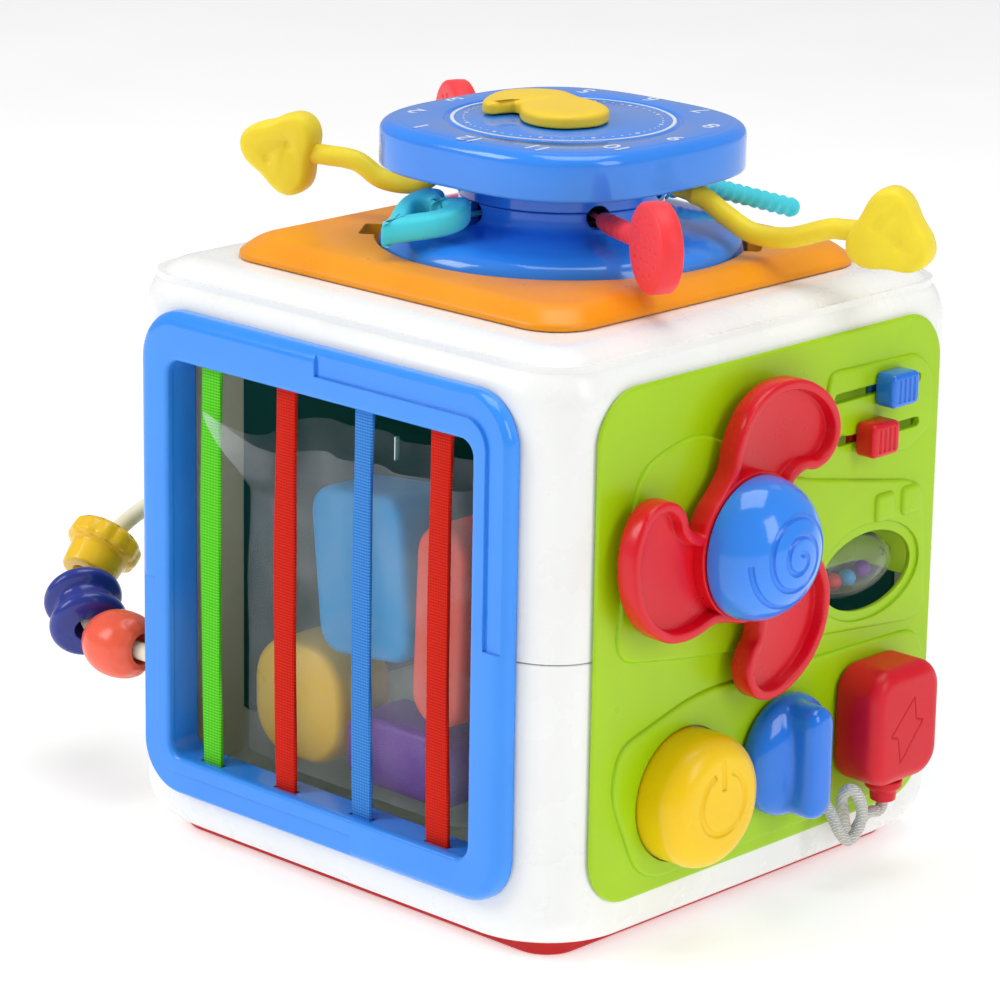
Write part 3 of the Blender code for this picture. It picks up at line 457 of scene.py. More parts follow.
def plastic(name, colour, rough=0.25, grain=0.06, coat=0.0, soft=0.0, mottle=0.07):
    """Moulded plastic: faint flow mottling, a fine moulded grain, smudges in the gloss and rubbed edges."""
    made, nodes, links, shader = new_look(name)
    where = nodes.new("ShaderNodeTexCoord").outputs["Object"]
    flow = spread(nodes, links, noise(nodes, links, where, 38.0, 4.0), 0.0, 1.0)
    deep = tuple(c * (1 - mottle) for c in colour)
    light = tuple(min(1.0, c * 1.03 + 0.004) for c in colour)
    links.new(blend_colours(nodes, links, flow, deep, light), shader.inputs["Base Color"])
    smudge = noise(nodes, links, where, 75.0, 5.0, 0.6)
    gloss = spread(nodes, links, smudge, rough * 0.8, rough * 1.35)
    links.new(gloss, shader.inputs["Roughness"])
    fine = noise(nodes, links, where, 2600.0, 2.0)
    if mottle > POLISHED:
        edge = nodes.new("ShaderNodeBevel")
        edge.samples = 4
        edge.inputs["Radius"].default_value = 0.0006
        grained = bump(nodes, links, fine, grain, 0.0002, edge.outputs["Normal"])
        wave = noise(nodes, links, where, 120.0, 2.0)
        surface = bump(nodes, links, wave, 0.5 * mottle, 0.0005, grained)
    else:
        surface = bump(nodes, links, fine, 0.02, 0.0001)
    links.new(surface, shader.inputs["Normal"])
    adjust(shader, {"Specular IOR Level": 0.35, "Coat Weight": coat, "Coat Roughness": 0.06})
    if soft > 0:
        adjust(
            shader,
            {
                "Subsurface Weight": soft,
                "Subsurface Radius": (0.9, 0.6, 0.4),
                "Subsurface Scale": 0.004,
            },
        )
    return made


def silicone(name, colour):
    """Soft matt silicone with a velvety haze, dust-fine grain and slight depth."""
    made, nodes, links, shader = new_look(name)
    where = nodes.new("ShaderNodeTexCoord").outputs["Object"]
    cloud = spread(nodes, links, noise(nodes, links, where, 55.0, 5.0, 0.6), 0.0, 1.0)
    deep = tuple(c * 0.9 for c in colour)
    light = tuple(min(1.0, c * 1.04 + 0.01) for c in colour)
    links.new(blend_colours(nodes, links, cloud, deep, light), shader.inputs["Base Color"])
    haze = spread(nodes, links, noise(nodes, links, where, 160.0, 4.0), 0.42, 0.62)
    links.new(haze, shader.inputs["Roughness"])
    fine = noise(nodes, links, where, 1900.0, 3.0)
    links.new(bump(nodes, links, fine, 0.16, 0.0002), shader.inputs["Normal"])
    adjust(
        shader,
        {
            "Sheen Weight": 0.12,
            "Subsurface Weight": 0.18,
            "Subsurface Radius": (1.0, 0.7, 0.5),
            "Subsurface Scale": 0.004,
        },
    )
    return made


def woven(name, colour, groove_shade_colour):
    """Woven elastic: ribs across the band, fine warp threads along it, and painted shade darkening the grooves
    between them.
    """
    made, nodes, links, shader = new_look(name)
    where = nodes.new("ShaderNodeTexCoord").outputs["Object"]
    across = nodes.new("ShaderNodeTexWave")
    across.wave_type = "BANDS"
    across.bands_direction = "Z"
    adjust(across, {"Scale": 420.0, "Distortion": 0.6, "Detail": 1.0})
    links.new(where, across.inputs["Vector"])
    warp = nodes.new("ShaderNodeTexWave")
    warp.wave_type = "BANDS"
    warp.bands_direction = "X"
    adjust(warp, {"Scale": 560.0, "Distortion": 0.4})
    links.new(where, warp.inputs["Vector"])
    weave = nodes.new("ShaderNodeMath")
    weave.operation = "MULTIPLY"
    links.new(across.outputs["Fac"], weave.inputs[0])
    links.new(warp.outputs["Fac"], weave.inputs[1])
    tone = spread(nodes, links, weave.outputs["Value"], 0.0, 1.0, 0.0, 0.7)
    # Darker in the low grooves of the weave: painted shade
    links.new(blend_colours(nodes, links, tone, groove_shade_colour, colour), shader.inputs["Base Color"])
    adjust(shader, {"Roughness": 0.85, "Sheen Weight": 0.04, "Specular IOR Level": 0.2})
    fuzz = noise(nodes, links, where, 3000.0, 3.0)
    first = bump(nodes, links, weave.outputs["Value"], 0.55, 0.0003)
    links.new(bump(nodes, links, fuzz, 0.2, 0.0001, first), shader.inputs["Normal"])
    return made


def braid(name, colour, shade):
    """Braided cord: diamond strands from two crossing waves, with painted shade darkening the gaps between
    strands.
    """
    made, nodes, links, shader = new_look(name)
    where = nodes.new("ShaderNodeTexCoord").outputs["Object"]
    heights = []
    for turn in ((0.6, 0.7, 0.8), (-0.6, -0.7, 0.8)):
        twist = nodes.new("ShaderNodeMapping")
        twist.inputs["Rotation"].default_value = turn
        links.new(where, twist.inputs["Vector"])
        strands = nodes.new("ShaderNodeTexWave")
        adjust(strands, {"Scale": 520.0, "Distortion": 1.2})
        links.new(twist.outputs["Vector"], strands.inputs["Vector"])
        heights.append(strands.outputs["Fac"])
    both = nodes.new("ShaderNodeMath")
    both.operation = "MULTIPLY"
    links.new(heights[0], both.inputs[0])
    links.new(heights[1], both.inputs[1])
    tone = spread(nodes, links, both.outputs["Value"], 0.0, 1.0, 0.0, 0.6)
    links.new(blend_colours(nodes, links, tone, shade, colour), shader.inputs["Base Color"])
    adjust(shader, {"Roughness": 0.8, "Sheen Weight": 0.25})
    links.new(bump(nodes, links, both.outputs["Value"], 0.7, 0.0004), shader.inputs["Normal"])
    return made


def clear_plastic(name, tint, weight, rough):
    """Clear moulded plastic with hair scratches."""
    made, nodes, links, shader = new_look(name)
    where = nodes.new("ShaderNodeTexCoord").outputs["Object"]
    haze = spread(nodes, links, noise(nodes, links, where, 260.0, 6.0, 0.7), rough, rough + 0.12)
    links.new(haze, shader.inputs["Roughness"])
    tone = spread(nodes, links, noise(nodes, links, where, 40.0), 0.0, 1.0)
    links.new(blend_colours(nodes, links, tone, tint, (1.0, 1.0, 1.0)), shader.inputs["Base Color"])
    adjust(shader, {"Transmission Weight": weight, "IOR": 1.2})
    scratches = noise(nodes, links, where, 700.0, 3.0)
    links.new(bump(nodes, links, scratches, 0.05, 0.0002), shader.inputs["Normal"])
    return made


def frosted_film(name):
    """Frosted poly film: milky and slightly see-through, cloudier in random patches."""
    made, nodes, links, shader = new_look(name)
    where = nodes.new("ShaderNodeTexCoord").outputs["Object"]
    cloud = noise(nodes, links, where, 60.0, 6.0, 0.6)
    tone = spread(nodes, links, cloud, 0.0, 1.0)
    milk = blend_colours(nodes, links, tone, srgb(196, 204, 208), srgb(238, 242, 244))
    links.new(milk, shader.inputs["Base Color"])
    shader.inputs["Roughness"].default_value = 0.24
    alpha = spread(nodes, links, cloud, 0.13, 0.24)
    links.new(alpha, shader.inputs["Alpha"])
    crease = noise(nodes, links, where, 42.0, 2.0, 0.5)
    links.new(bump(nodes, links, crease, 0.6, 0.003), shader.inputs["Normal"])
    return made


WHITE = plastic("white_shell", srgb(249, 250, 248), 0.26, 0.03, 0.15, 0.0, 0.015)
FRAME_BLUE = plastic("frame_blue", srgb(50, 148, 255), 0.16, 0.03, 0.35, 0.0, 0.03)
TOY_BLUE = plastic("toy_blue", srgb(48, 140, 250), 0.14, 0.03, 0.5, 0.0, 0.03)
KNOB_BLUE = plastic("knob_blue", srgb(10, 120, 235), 0.14, 0.03, 0.5)
ORANGE = plastic("orange_plate", srgb(255, 160, 20), 0.34, 0.12, 0.05, 0.08)
LIME = plastic("lime_panel", srgb(168, 214, 0), 0.34, 0.12, 0.05, 0.0, 0.04)
FAN_RED = plastic("fan_red", srgb(225, 0, 28), 0.3, 0.06, 0.15)
KEY_RED = plastic("key_red", srgb(220, 0, 32), 0.38, 0.10, 0.05)
BUTTON_YELLOW = plastic("button_yellow", srgb(255, 208, 0), 0.3, 0.08, 0.1, 0.0, 0.04)
POINTER_YELLOW = plastic("pointer_yellow", srgb(255, 214, 50), 0.4, 0.06, 0.1, 0.0, 0.03)
BASE_RED = plastic("base_red", srgb(205, 14, 18), 0.35, 0.08)
TEAL = plastic("teal_panel", srgb(0, 112, 112), 0.35, 0.08)
CREAM = plastic("cream_tube", srgb(244, 238, 214), 0.4, 0.06, 0.0, 0.1)
GREY = plastic("inner_grey", srgb(150, 152, 156), 0.5, 0.15)
SPRING = plastic("spring_wire", srgb(170, 172, 178), 0.25, 0.02)
SPRING.node_tree.nodes["Principled BSDF"].inputs["Metallic"].default_value = 1.0
DIAL_WHITE = plastic("dial_print", srgb(226, 238, 255), 0.45, 0.05)
BEAD_YELLOW = plastic("bead_yellow", srgb(250, 200, 20), 0.25, 0.04, 0.3, 0.08)
BEAD_BLUE = plastic("bead_blue", srgb(40, 55, 150), 0.22, 0.04, 0.3)
BEAD_ORANGE = plastic("bead_orange", srgb(255, 100, 70), 0.28, 0.04, 0.2, 0.08)
SKY = plastic("block_sky", srgb(0, 165, 228), 0.35, 0.05)
VIOLET = plastic("block_violet", srgb(120, 40, 170), 0.35, 0.05)
BLOCK_ORANGE = plastic("block_orange", srgb(255, 84, 44), 0.35, 0.05)
SILICONE_YELLOW = silicone("silicone_yellow", srgb(255, 228, 30))
SILICONE_RED = silicone("silicone_red", srgb(255, 44, 54))
SILICONE_CYAN = silicone("silicone_cyan", srgb(60, 218, 235))
# Each band's second colour is the painted shade in the grooves of its weave
BAND_LOOKS = {
    "band_green": woven("weave_green", srgb(128, 250, 56), srgb(70, 190, 20)),
    "band_red_left": woven("weave_red", srgb(245, 40, 0), srgb(196, 20, 0)),
    "band_blue": woven("weave_blue", srgb(92, 172, 245), srgb(40, 116, 205)),
    "band_red_right": woven("weave_red_right", srgb(245, 40, 0), srgb(196, 20, 0)),
}
# The braid's second colour is the painted shade between its strands
CORD_WHITE = braid("cord_braid", srgb(243, 243, 238), srgb(188, 188, 180))
CLEAR = clear_plastic("clear_drum", (0.96, 0.98, 1.0), 0.95, 0.02)
# Lime for the inner pieces with an emission glow of its own: painted light that brightens the dark inside of
# the cube, where no lamp reaches
LIME_INSIDE_PAINTED_GLOW = plastic("lime_inside_painted_glow", srgb(150, 190, 20), 0.4, 0.1)
PAINTED_GLOW_SHADER = LIME_INSIDE_PAINTED_GLOW.node_tree.nodes["Principled BSDF"]
adjust(PAINTED_GLOW_SHADER, {"Emission Color": (0.28, 0.42, 0.03, 1.0), "Emission Strength": 0.35})
FILM = frosted_film("bag_film")

# The key's cord
CORD_DIAMETER = 0.003
CORD_ROUTE = [
    (0.0840, 0.0370, 0.0191),
    (0.0840, 0.0363, 0.0177),
    (0.0842, 0.0349, 0.0172),
    (0.0839, 0.0332, 0.0174),
    (0.0830, 0.0316, 0.0168),
    (0.0818, 0.0310, 0.0144),
    (0.0808, 0.0301, 0.0120),
    (0.0801, 0.0289, 0.0114),
    (0.0799, 0.0277, 0.0135),
    (0.0802, 0.0263, 0.0171),
    (0.0816, 0.0238, 0.0211),
    (0.0839, 0.0213, 0.0248),
    (0.0859, 0.0204, 0.0268),
    (0.0871, 0.0212, 0.0268),
    (0.0879, 0.0223, 0.0251),
    (0.0881, 0.0234, 0.0225),
    (0.0879, 0.0240, 0.0200),
    (0.0873, 0.0239, 0.0171),
    (0.0865, 0.0230, 0.0144),
    (0.0859, 0.0212, 0.0134),
    (0.0853, 0.0193, 0.0152),
    (0.0844, 0.0181, 0.0180),
    (0.0829, 0.0179, 0.0205),
    (0.0810, 0.0175, 0.0229),
    (0.0790, 0.0170, 0.0248),
    (0.0770, 0.0167, 0.0257),
    (0.0748, 0.0166, 0.0259),
    (0.0725, 0.0166, 0.0259),
]


def make_cord():
    line = smooth_path([Vector(point) for point in CORD_ROUTE], 6)
    data = bpy.data.curves.new("key_cord_braided", "CURVE")
    data.dimensions = "3D"
    data.bevel_depth = CORD_DIAMETER / 2
    data.bevel_resolution = 6
    data.use_fill_caps = True
    spline = data.splines.new("POLY")
    spline.points.add(len(line) - 1)
    for point, spot in zip(spline.points, line):
        point.co = (*spot, 1.0)
    cord = bpy.data.objects.new("key_cord_braided", data)
    data.materials.append(CORD_WHITE)
    bpy.context.collection.objects.link(cord)
    stand_for(cord, "cube", "key_cord")


make_cord()


# Body

# Each band's centre and half width
BANDS = {
    "band_green": (-39.6, 3.35),
    "band_red_left": (-13.2, 3.5),
    "band_blue": (13.3, 3.1),
    "band_red_right": (38.9, 3.5),
}
CUBE_HALF = 75.0
WALL = 3.0
LIP = 0.25
HALF_SEAM = 0.15
HEM_INSET = 4.0
HEM_HEIGHT = 9.6
HEM_TOP = 14.0
EDGE_RADIUS = 16.0
SHOULDER_RADIUS = 13.0
SHELL_TOP = 149.5
SEAM_Z = 76.2
PANEL_Z = 77.35
PANEL_BACK = 75.3
PANEL_FRONT = 77.0


def shell_outline(inset):
    half = CUBE_HALF - inset
    return rounded_rect(half, half, EDGE_RADIUS - inset, steps=16)


def make_shells():
    inner = shell_outline(WALL)
    lower = [(rounded_rect(66.0, 66.0, 24.0, steps=16), 6.0)]
    lower += [(rounded_rect(69.5, 69.5, 17.0, steps=16), 9.5), (inner, 17.0)]
    below = SEAM_Z - HALF_SEAM
    above = SEAM_Z + HALF_SEAM
    lower += [(inner, below), (shell_outline(LIP), below), (shell_outline(0.0), below - LIP)]
    upper = [(inner, SHELL_TOP - WALL), (inner, above)]
    upper += [(shell_outline(LIP), above), (shell_outline(0.0), above + LIP)]
    for i in range(13):
        turn = math.radians(90 * i / 12)
        inset = HEM_INSET * (1 - math.cos(turn))
        radius = EDGE_RADIUS + 9.0 * (1 - math.cos(turn))
        outline = rounded_rect(CUBE_HALF - inset, CUBE_HALF - inset, radius, steps=16)
        lower.append((outline, HEM_TOP - HEM_HEIGHT * math.sin(turn)))
    for i in range(17):
        turn = math.radians(90 * i / 16)
        inset = SHOULDER_RADIUS * (1 - math.cos(turn))
        upper.append((shell_outline(inset), SHELL_TOP - SHOULDER_RADIUS * (1 - math.sin(turn))))
    for inset in (13.5, 14.2):
        upper.append((shell_outline(inset), SHELL_TOP))
    openings = {
        "front": ((-57.5, 57.5), (19.5, 134.5), 10),
        "back": ((-57.5, 57.5), (19.5, 134.5), 10),
        "right": ((-59.5, 59.5), (17.85, 136.85), 12),
        "left": ((-57.0, 38.0), (19.5, 134.5), 10),
    }
    for name, layers, node in (("shell_lower", lower, "lower_shell"), ("shell_upper", upper, "upper_shell")):
        shell = plate(name, "top", layers, WHITE)
        for side, (span_u, span_v, radius) in openings.items():
            cut(shell, box_tool(name + "_" + side, side, (span_u, span_v, (60, 90)), radius))
        apply_steps(shell)
        stand_for(shell, "cube", node)


def make_base():
    outline = rounded_rect(65.6, 65.6, 9.0, steps=16)
    base = plate("base_foot", "top", rounded_layers(outline, 0.0, 4.1, 0.8, 0.3), BASE_RED)
    stand_for(base, "cube", "base_plate")


def make_window():
    middle = (0.0, PANEL_Z)
    hole = (0.0, 76.75)
    outline = rounded_rect(62.7, 62.65, 13.0, middle, steps=14)
    opening = rounded_rect(52.0, 51.25, 4.0, hole, steps=14)
    layers = [(outline, PANEL_BACK), (outline, 76.3)]
    for i in range(1, 9):
        turn = math.radians(90 * i / 8)
        layers.append((inset_outline(outline, 3.5 * (1 - math.cos(turn))), 76.5 + 3.5 * math.sin(turn)))
    for i in range(5):
        turn = math.radians(90 * i / 4)
        layers.append((inset_outline(opening, -1.1 * (1 - math.sin(turn))), 78.9 + 1.1 * math.cos(turn)))
    layers += [
        (opening, 77.8),
        (inset_outline(opening, -0.25), 77.6),
        (inset_outline(opening, -0.25), 69.8),
        (inset_outline(opening, -2.6), 69.8),
        (inset_outline(opening, -2.6), PANEL_BACK),
    ]
    rings = [ring_on("front", outline, w) for outline, w in layers]
    body = loft("window_surround", rings, FRAME_BLUE, closed=True)
    for name, (centre, _) in BANDS.items():
        spans = ((centre - 3.9, centre + 3.9), (23.75, 129.75), (74.95, 76.85))
        cut(body, box_tool("socket_" + name, "front", spans))
    for name, sign, start, corner_z, end in (
        ("step_top", 1, 0.0, 126.4, 78.5),
        ("step_low", -1, 13.0, 28.3, 71.0),
    ):
        corner = (49.2 * sign, corner_z)
        radius = 10.3 * sign
        path = [(start, corner[1] + radius), (corner[0], corner[1] + radius)]
        path += [around(corner, radius, math.radians(90 - angle)) for angle in range(10, 90, 10)]
        path += [(corner[0] + radius, corner[1]), (corner[0] + radius, end)]
        pairs = groove_sides(path, 3.2)
        outline = [near for near, _ in pairs] + [far for _, far in reversed(pairs)]
        cut(body, plate("cut_" + name, "front", [(outline, 79.2), (outline, 82.0)], None))
    apply_steps(body)
    stand_for(body, "cube", "window_frame")
    for name, (centre, half_width) in BANDS.items():
        rings = []
        for i in range(61):
            t = i / 60
            z = 24.1 + (129.4 - 24.1) * t
            bow = -0.8 * math.sin(math.pi * t)
            half = half_width * (1 + 0.05 * math.sin(5.1 * t + centre) + 0.03 * math.sin(13 * t))
            section = rounded_rect(half, 0.6, 0.5, (centre + bow, 75.9), steps=4)
            rings.append([Vector((x, -y, z)) for x, y in section])
        band = loft(name + "_woven", rings, BAND_LOOKS[name], smooth_angle=50)
        stand_for(band, "cube", name)


def groove_sides(path, half):
    """Pairs of points on both sides of a path."""
    pairs = []
    for i, point in enumerate(path):
        ahead = Vector(path[min(i + 1, len(path) - 1)])
        behind = Vector(path[max(i - 1, 0)])
        run = (ahead - behind).normalized()
        side = Vector((-run.y, run.x)) * half
        here = Vector(point)
        pairs.append(((here.x + side.x, here.y + side.y), (here.x - side.x, here.y - side.y)))
    return pairs


# Busy panel: places across and up

FAN_CENTRE = (-18.3, 97.5)
BUTTON_CENTRE = (-31.5, 36.8)
KNOB_CENTRE = (4.2, 38.6)
KEY_CENTRE = (37.5, 40.8)


def panel_layers(rim_centre, rim_u, rim_v, rim_radius, half, half_z):
    middle = (0.0, PANEL_Z)
    inner = rounded_rect(rim_u - 1.5, rim_v - 1.5, rim_radius - 1.5, rim_centre)
    outer = rounded_rect(rim_u, rim_v, rim_radius, rim_centre)
    outline = rounded_rect(half, half_z, 13.0, middle)
    layers = [(inner, PANEL_BACK), (inner, 71.5), (outer, 71.5), (outer, PANEL_BACK), (outline, PANEL_BACK)]
    for i in range(6):
        turn = math.radians(90 * i / 5)
        layers.append((inset_outline(outline, 0.9 * (1 - math.cos(turn))), 76.1 + 0.9 * math.sin(turn)))
    return layers


def smooth_outline(points, radius, steps=6):
    """Rounds the corners of a polygon."""
    made = []
    count = len(points)
    for i in range(count):
        here = Vector(points[i])
        back = Vector(points[i - 1]) - here
        ahead = Vector(points[(i + 1) % count]) - here
        reach = min(radius, back.length * 0.45, ahead.length * 0.45)
        start = here + back.normalized() * reach
        end = here + ahead.normalized() * reach
        for k in range(steps + 1):
            t = k / steps
            spot = start * (1 - t) ** 2 + here * (2 * t * (1 - t)) + end * t * t
            made.append((spot.x, spot.y))
    return made


def make_busy_panel():
    layers = panel_layers((0.0, PANEL_Z), 59.2, 59.2, 11.7, 63.0, 63.15)
    layers = [(outline, w if w < 76.05 else 75.6 + (w - 76.1) * 0.55) for outline, w in layers]
    panel = plate("busy_board", "right", layers, LIME)
    zones = {
        "slider_zone": (
            3.0,
            [(16, 118), (19.4, 131.5), (53.2, 130.6), (58.7, 125.8), (59.4, 110.8), (49, 105.8)],
        ),
        "fan_zone": (
            8.0,
            [(-50, 120.7), (-57, 74.8), (-26.8, 69.8), (60, 60.6), (57.5, 97.2), (8.3, 106.9), (-29, 126.4)],
        ),
        "lower_zone": (
            9.0,
            [(-56.8, 41.7), (-46, 17.4), (60, 17.4), (60, 58.6), (-26.3, 61.2), (-54.5, 53.5)],
        ),
    }
    for name, (radius, corners) in zones.items():
        if turns_left(corners) < 0:
            corners = list(reversed(corners))
        outline = smooth_outline(corners, radius)
        raised = plate(name, "right", rounded_layers(outline, 75.5, 77.0, 0.0, 0.85, 6), None)
        boolean(panel, raised, "UNION")
    for k, spot in enumerate((41.4, 51.7)):
        pad = rounded_rect(3.7, 3.7, 1.6, (spot, 93.4), steps=6)
        layers = rounded_layers(pad, 76.0, 78.0, 0.0, 1.1, 5)
        boolean(panel, plate("pad_%d" % k, "right", layers, None), "UNION")
    through = (70.0, 80.0)
    for name, slot_at in (("slot_upper", (20.5, 54.0, 124.5)), ("slot_lower", (23.0, 54.0, 113.2))):
        spans = ((slot_at[0], slot_at[1]), (slot_at[2] - 1.25, slot_at[2] + 1.25), through)
        cut(panel, box_tool(name, "right", spans, 1.2))
    ellipse = [(36.3 + 17.3 * u, 77.9 + 9.9 * v) for u, v in circle(1.0, 72)]
    cut(panel, plate("rattle_window", "right", [(ellipse, w) for w in through], None))
    rim = [(36.3 + 20.0 * u, 77.9 + 12.4 * v) for u, v in circle(1.0, 72)]
    cut(panel, plate("rattle_rim", "right", [(rim, 76.3), (rim, 80.0)], None))
    for name, centre, radius in (
        ("fan_hole", FAN_CENTRE, 3.4),
        ("button_hole", BUTTON_CENTRE, 16.8),
        ("knob_hole", KNOB_CENTRE, 4.4),
        ("cord_hole", (16.6, 25.9), 2.2),
    ):
        cut(panel, round_tool(name, on_right(centre), (1, 0, 0), radius, *through))
    apply_steps(panel)
    stand_for(panel, "cube", "busy_panel")
    floor = rounded_rect(24.0, 13.0, 2.0, (37.0, 118.9), steps=5)
    # The slider tray takes the lime with painted glow
    tray = plate("slider_tray", "right", [(floor, 69.2), (floor, 70.0)], LIME_INSIDE_PAINTED_GLOW)
    detail(tray, "cube")


def closed_curve(corners, steps):
    return [(p.x, p.y) for p in smooth_closed([Vector((u, v, 0.0)) for u, v in corners], steps)]


# One blade's edge: sideways, outward
BLADE_SHAPE = [
    (6.3, 17.7), (7.0, 20.0), (9.2, 22.6), (12.6, 23.9), (15.9, 27.2), (17.0, 32.0), (15.3, 36.8),
    (10.4, 40.4), (3.3, 41.9), (-5.0, 40.8), (-12.6, 36.4), (-17.2, 30.0), (-18.5, 24.0), (-18.0, 18.0),
    (-16.6, 12.6),
]
HUB_RADIUS = 18.8
DOME_RADIUS = 17.5
DOME_BASE = 86.5
DOME_RISE = 13.8


def make_fan():
    centre = FAN_CENTRE
    corners = []
    for blade in range(3):
        turn = math.radians(60 + 120 * blade)
        for side, out in BLADE_SHAPE:
            y = out * math.cos(turn) + side * math.sin(turn)
            z = out * math.sin(turn) - side * math.cos(turn)
            corners.append((centre[0] + y, centre[1] + z))
        corners += [around(centre, HUB_RADIUS, turn + math.radians(step)) for step in (68, 80, 92)]
    outline = closed_curve(corners, 10)
    layers = []
    for inset, w in (
        (0.7, 79.5), (0.25, 79.7), (0.0, 80.2), (0.0, 84.5), (0.15, 84.95), (0.5, 85.25), (0.9, 85.3),
        (1.9, 85.3), (2.25, 85.2), (2.45, 84.9), (2.6, 82.7), (2.8, 82.3), (3.2, 82.2),
    ):
        layers.append((inset_outline(outline, inset), w))
    blades = plate("fan_wheel", "right", layers, FAN_RED)
    ring = [(14.0, 82.0), (18.1, 82.0), (18.1, 85.2), (17.9, 85.45), (14.0, 85.45)]
    seat = turned("fan_hub_ring", ring, on_right(centre), (1, 0, 0), FAN_RED, 120, closed=True)
    stand_for(blades, "fan", "fan_blades")
    detail(seat, "fan")
    profile = [(0.0, 85.6), (17.1, 85.6), (17.5, 86.0)]
    for i in range(28):
        turn = math.radians(90 * i / 28)
        profile.append((DOME_RADIUS * math.cos(turn) ** 0.96, DOME_BASE + DOME_RISE * math.sin(turn)))
    profile.append((0.0, DOME_BASE + DOME_RISE))
    dome = turned("fan_cap", profile, on_right(centre), (1, 0, 0), TOY_BLUE, 96)
    steps = 220
    path = []
    for i in range(steps + 1):
        t = i / steps
        turn = math.pi + 2 * math.pi * 2.8 * (1 - t)
        radius = 0.9 + 12.2 * t
        height = DOME_BASE + DOME_RISE * math.sqrt(1 - (radius / DOME_RADIUS) ** 2)
        path.append(Vector((height + 0.12, *around(centre, radius, turn))))
    cut(dome, swept("spiral_groove", path, 0.75, None, 10))
    apply_steps(dome, 30)
    stand_for(dome, "fan", "fan_dome")
    collar = [(3.0, 79.2), (3.0, 77.3), (7.2, 77.3), (7.5, 77.6), (7.5, 78.9), (7.2, 79.2)]
    washer = turned("fan_collar", collar, on_right(centre), (1, 0, 0), FAN_RED, 48, closed=True)
    detail(washer, "fan")


def make_button():
    centre = BUTTON_CENTRE
    profile = [(0.0, 75.2), (16.3, 75.2), (16.5, 75.6), (16.5, 83.4)]
    for i in range(1, 15):
        turn = math.radians(90 * i / 14)
        profile.append((10.4 + 6.1 * math.cos(turn), 83.4 + 5.9 * math.sin(turn)))
    profile += [(6.0, 89.5), (0.0, 89.6)]
    cap = turned("power_cap", profile, on_right(centre), (1, 0, 0), BUTTON_YELLOW, 96)
    spot = (centre[0] + 0.6, centre[1] + 0.6)
    arc = []
    for i in range(61):
        turn = math.radians(112 + 316 * i / 60)
        arc.append(Vector((89.85, *around(spot, 7.8, turn))))
    cut(cap, swept("power_ring", arc, 0.9, None, 12))
    bar = [Vector((89.85, spot[0], spot[1] + 3.2)), Vector((89.85, spot[0], spot[1] + 10.6))]
    cut(cap, swept("power_bar", bar, 0.9, None, 12))
    apply_steps(cap)
    stand_for(cap, "button", "power_button")


def make_button_spring():
    """Four coils behind the button."""
    centre = BUTTON_CENTRE
    steps = 360
    coil = []
    for i in range(steps + 1):
        turn = 2 * math.pi * 4 * i / steps
        coil.append(Vector((62.6 + 9.5 * i / steps, *around(centre, 7.0, turn))))
    spring = swept("button_coil", coil, 0.55, SPRING, 10)
    stand_for(spring, "cube", "button_spring")
    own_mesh(spring)


def make_knob():
    centre = KNOB_CENTRE
    profile = [(0.0, 70.5), (4.0, 70.5), (4.0, 77.3), (15.2, 77.3), (15.6, 77.8), (15.6, 79.4)]
    for i in range(1, 20):
        turn = math.radians(90 * i / 20)
        profile.append((15.6 * math.cos(turn) ** 0.85, 79.4 + 6.2 * math.sin(turn)))
    profile.append((0.0, 85.6))
    knob = turned("knob_dial", profile, on_right(centre), (1, 0, 0), KNOB_BLUE, 96)
    outline = rounded_rect(5.0, 14.5, 4.9, centre, steps=12)
    ridge = plate("knob_ridge", "right", rounded_layers(outline, 78.0, 91.3, 0.0, 3.2, 8), None)
    boolean(knob, ridge, "UNION")
    soften = knob.modifiers.new("melt", "REMESH")
    soften.mode = "VOXEL"
    soften.voxel_size = 0.0004
    calm = knob.modifiers.new("calm", "CORRECTIVE_SMOOTH")
    calm.iterations = 26
    calm.use_only_smooth = True
    apply_steps(knob, 80)
    stand_for(knob, "knob", "rotary_knob")


def make_sliders():
    for name, y, z, colour_look, body in (
        ("upper_slider", 41.0, 124.5, KNOB_BLUE, "slider_up"),
        ("lower_slider", 34.0, 113.2, FAN_RED, "slider_low"),
    ):
        spot = (y, z)
        foot = rounded_rect(4.0, 3.0, 0.6, spot, steps=4)
        neck = rounded_rect(2.2, 0.9, 0.5, spot, steps=4)
        layers = [(foot, 73.2), (foot, 75.0), (neck, 75.0), (neck, 77.3)]
        layers += rounded_layers(rounded_rect(5.25, 4.25, 1.7, spot, steps=4), 77.3, 83.0, 0.4, 1.2, 5)
        knob = plate(name + "_grip", "right", layers, colour_look)
        for k in range(4):
            u = y - 2.7 + 1.8 * k
            rod = [Vector((83.15, u, z - 2.9)), Vector((83.15, u, z + 2.9))]
            cut(knob, swept(name + "_groove_%d" % k, rod, 0.5, None, 10))
        apply_steps(knob)
        stand_for(knob, body, name)


def make_rattle():
    spot = (68.6, 36.3, 77.9)
    inner = []
    outer = []
    for i in range(31):
        turn = math.radians(-90 + 174 * i / 30)
        inner.append((7.1 * math.cos(turn), 15.3 * math.sin(turn)))
    for i in range(37):
        turn = math.radians(81 - 162 * i / 36)
        outer.append((8.3 * math.cos(turn), 16.5 * math.sin(turn)))
    profile = [(0.0, -15.3)] + inner[1:] + [(0.7, 18.0), (1.3, 18.0)] + outer + [(1.3, -18.0), (0.0, -18.0)]
    drum = turned("rattle_shell", profile, spot, (0, 1, 0), CLEAR, 64)
    stand_for(drum, "rattle", "rattle_drum")
    for number, colour_look in enumerate((BUTTON_YELLOW, FAN_RED, SKY, VIOLET), 1):
        name = "rattle_bead_%d" % number
        low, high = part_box(name)
        middle = (Vector(low) + Vector(high)) / 2 / MM
        bead = turned(name + "_round", ball_profile(2.2, 75, 15), middle, (0, 1, 0), colour_look, 24)
        stand_for(bead, "rattle", name)


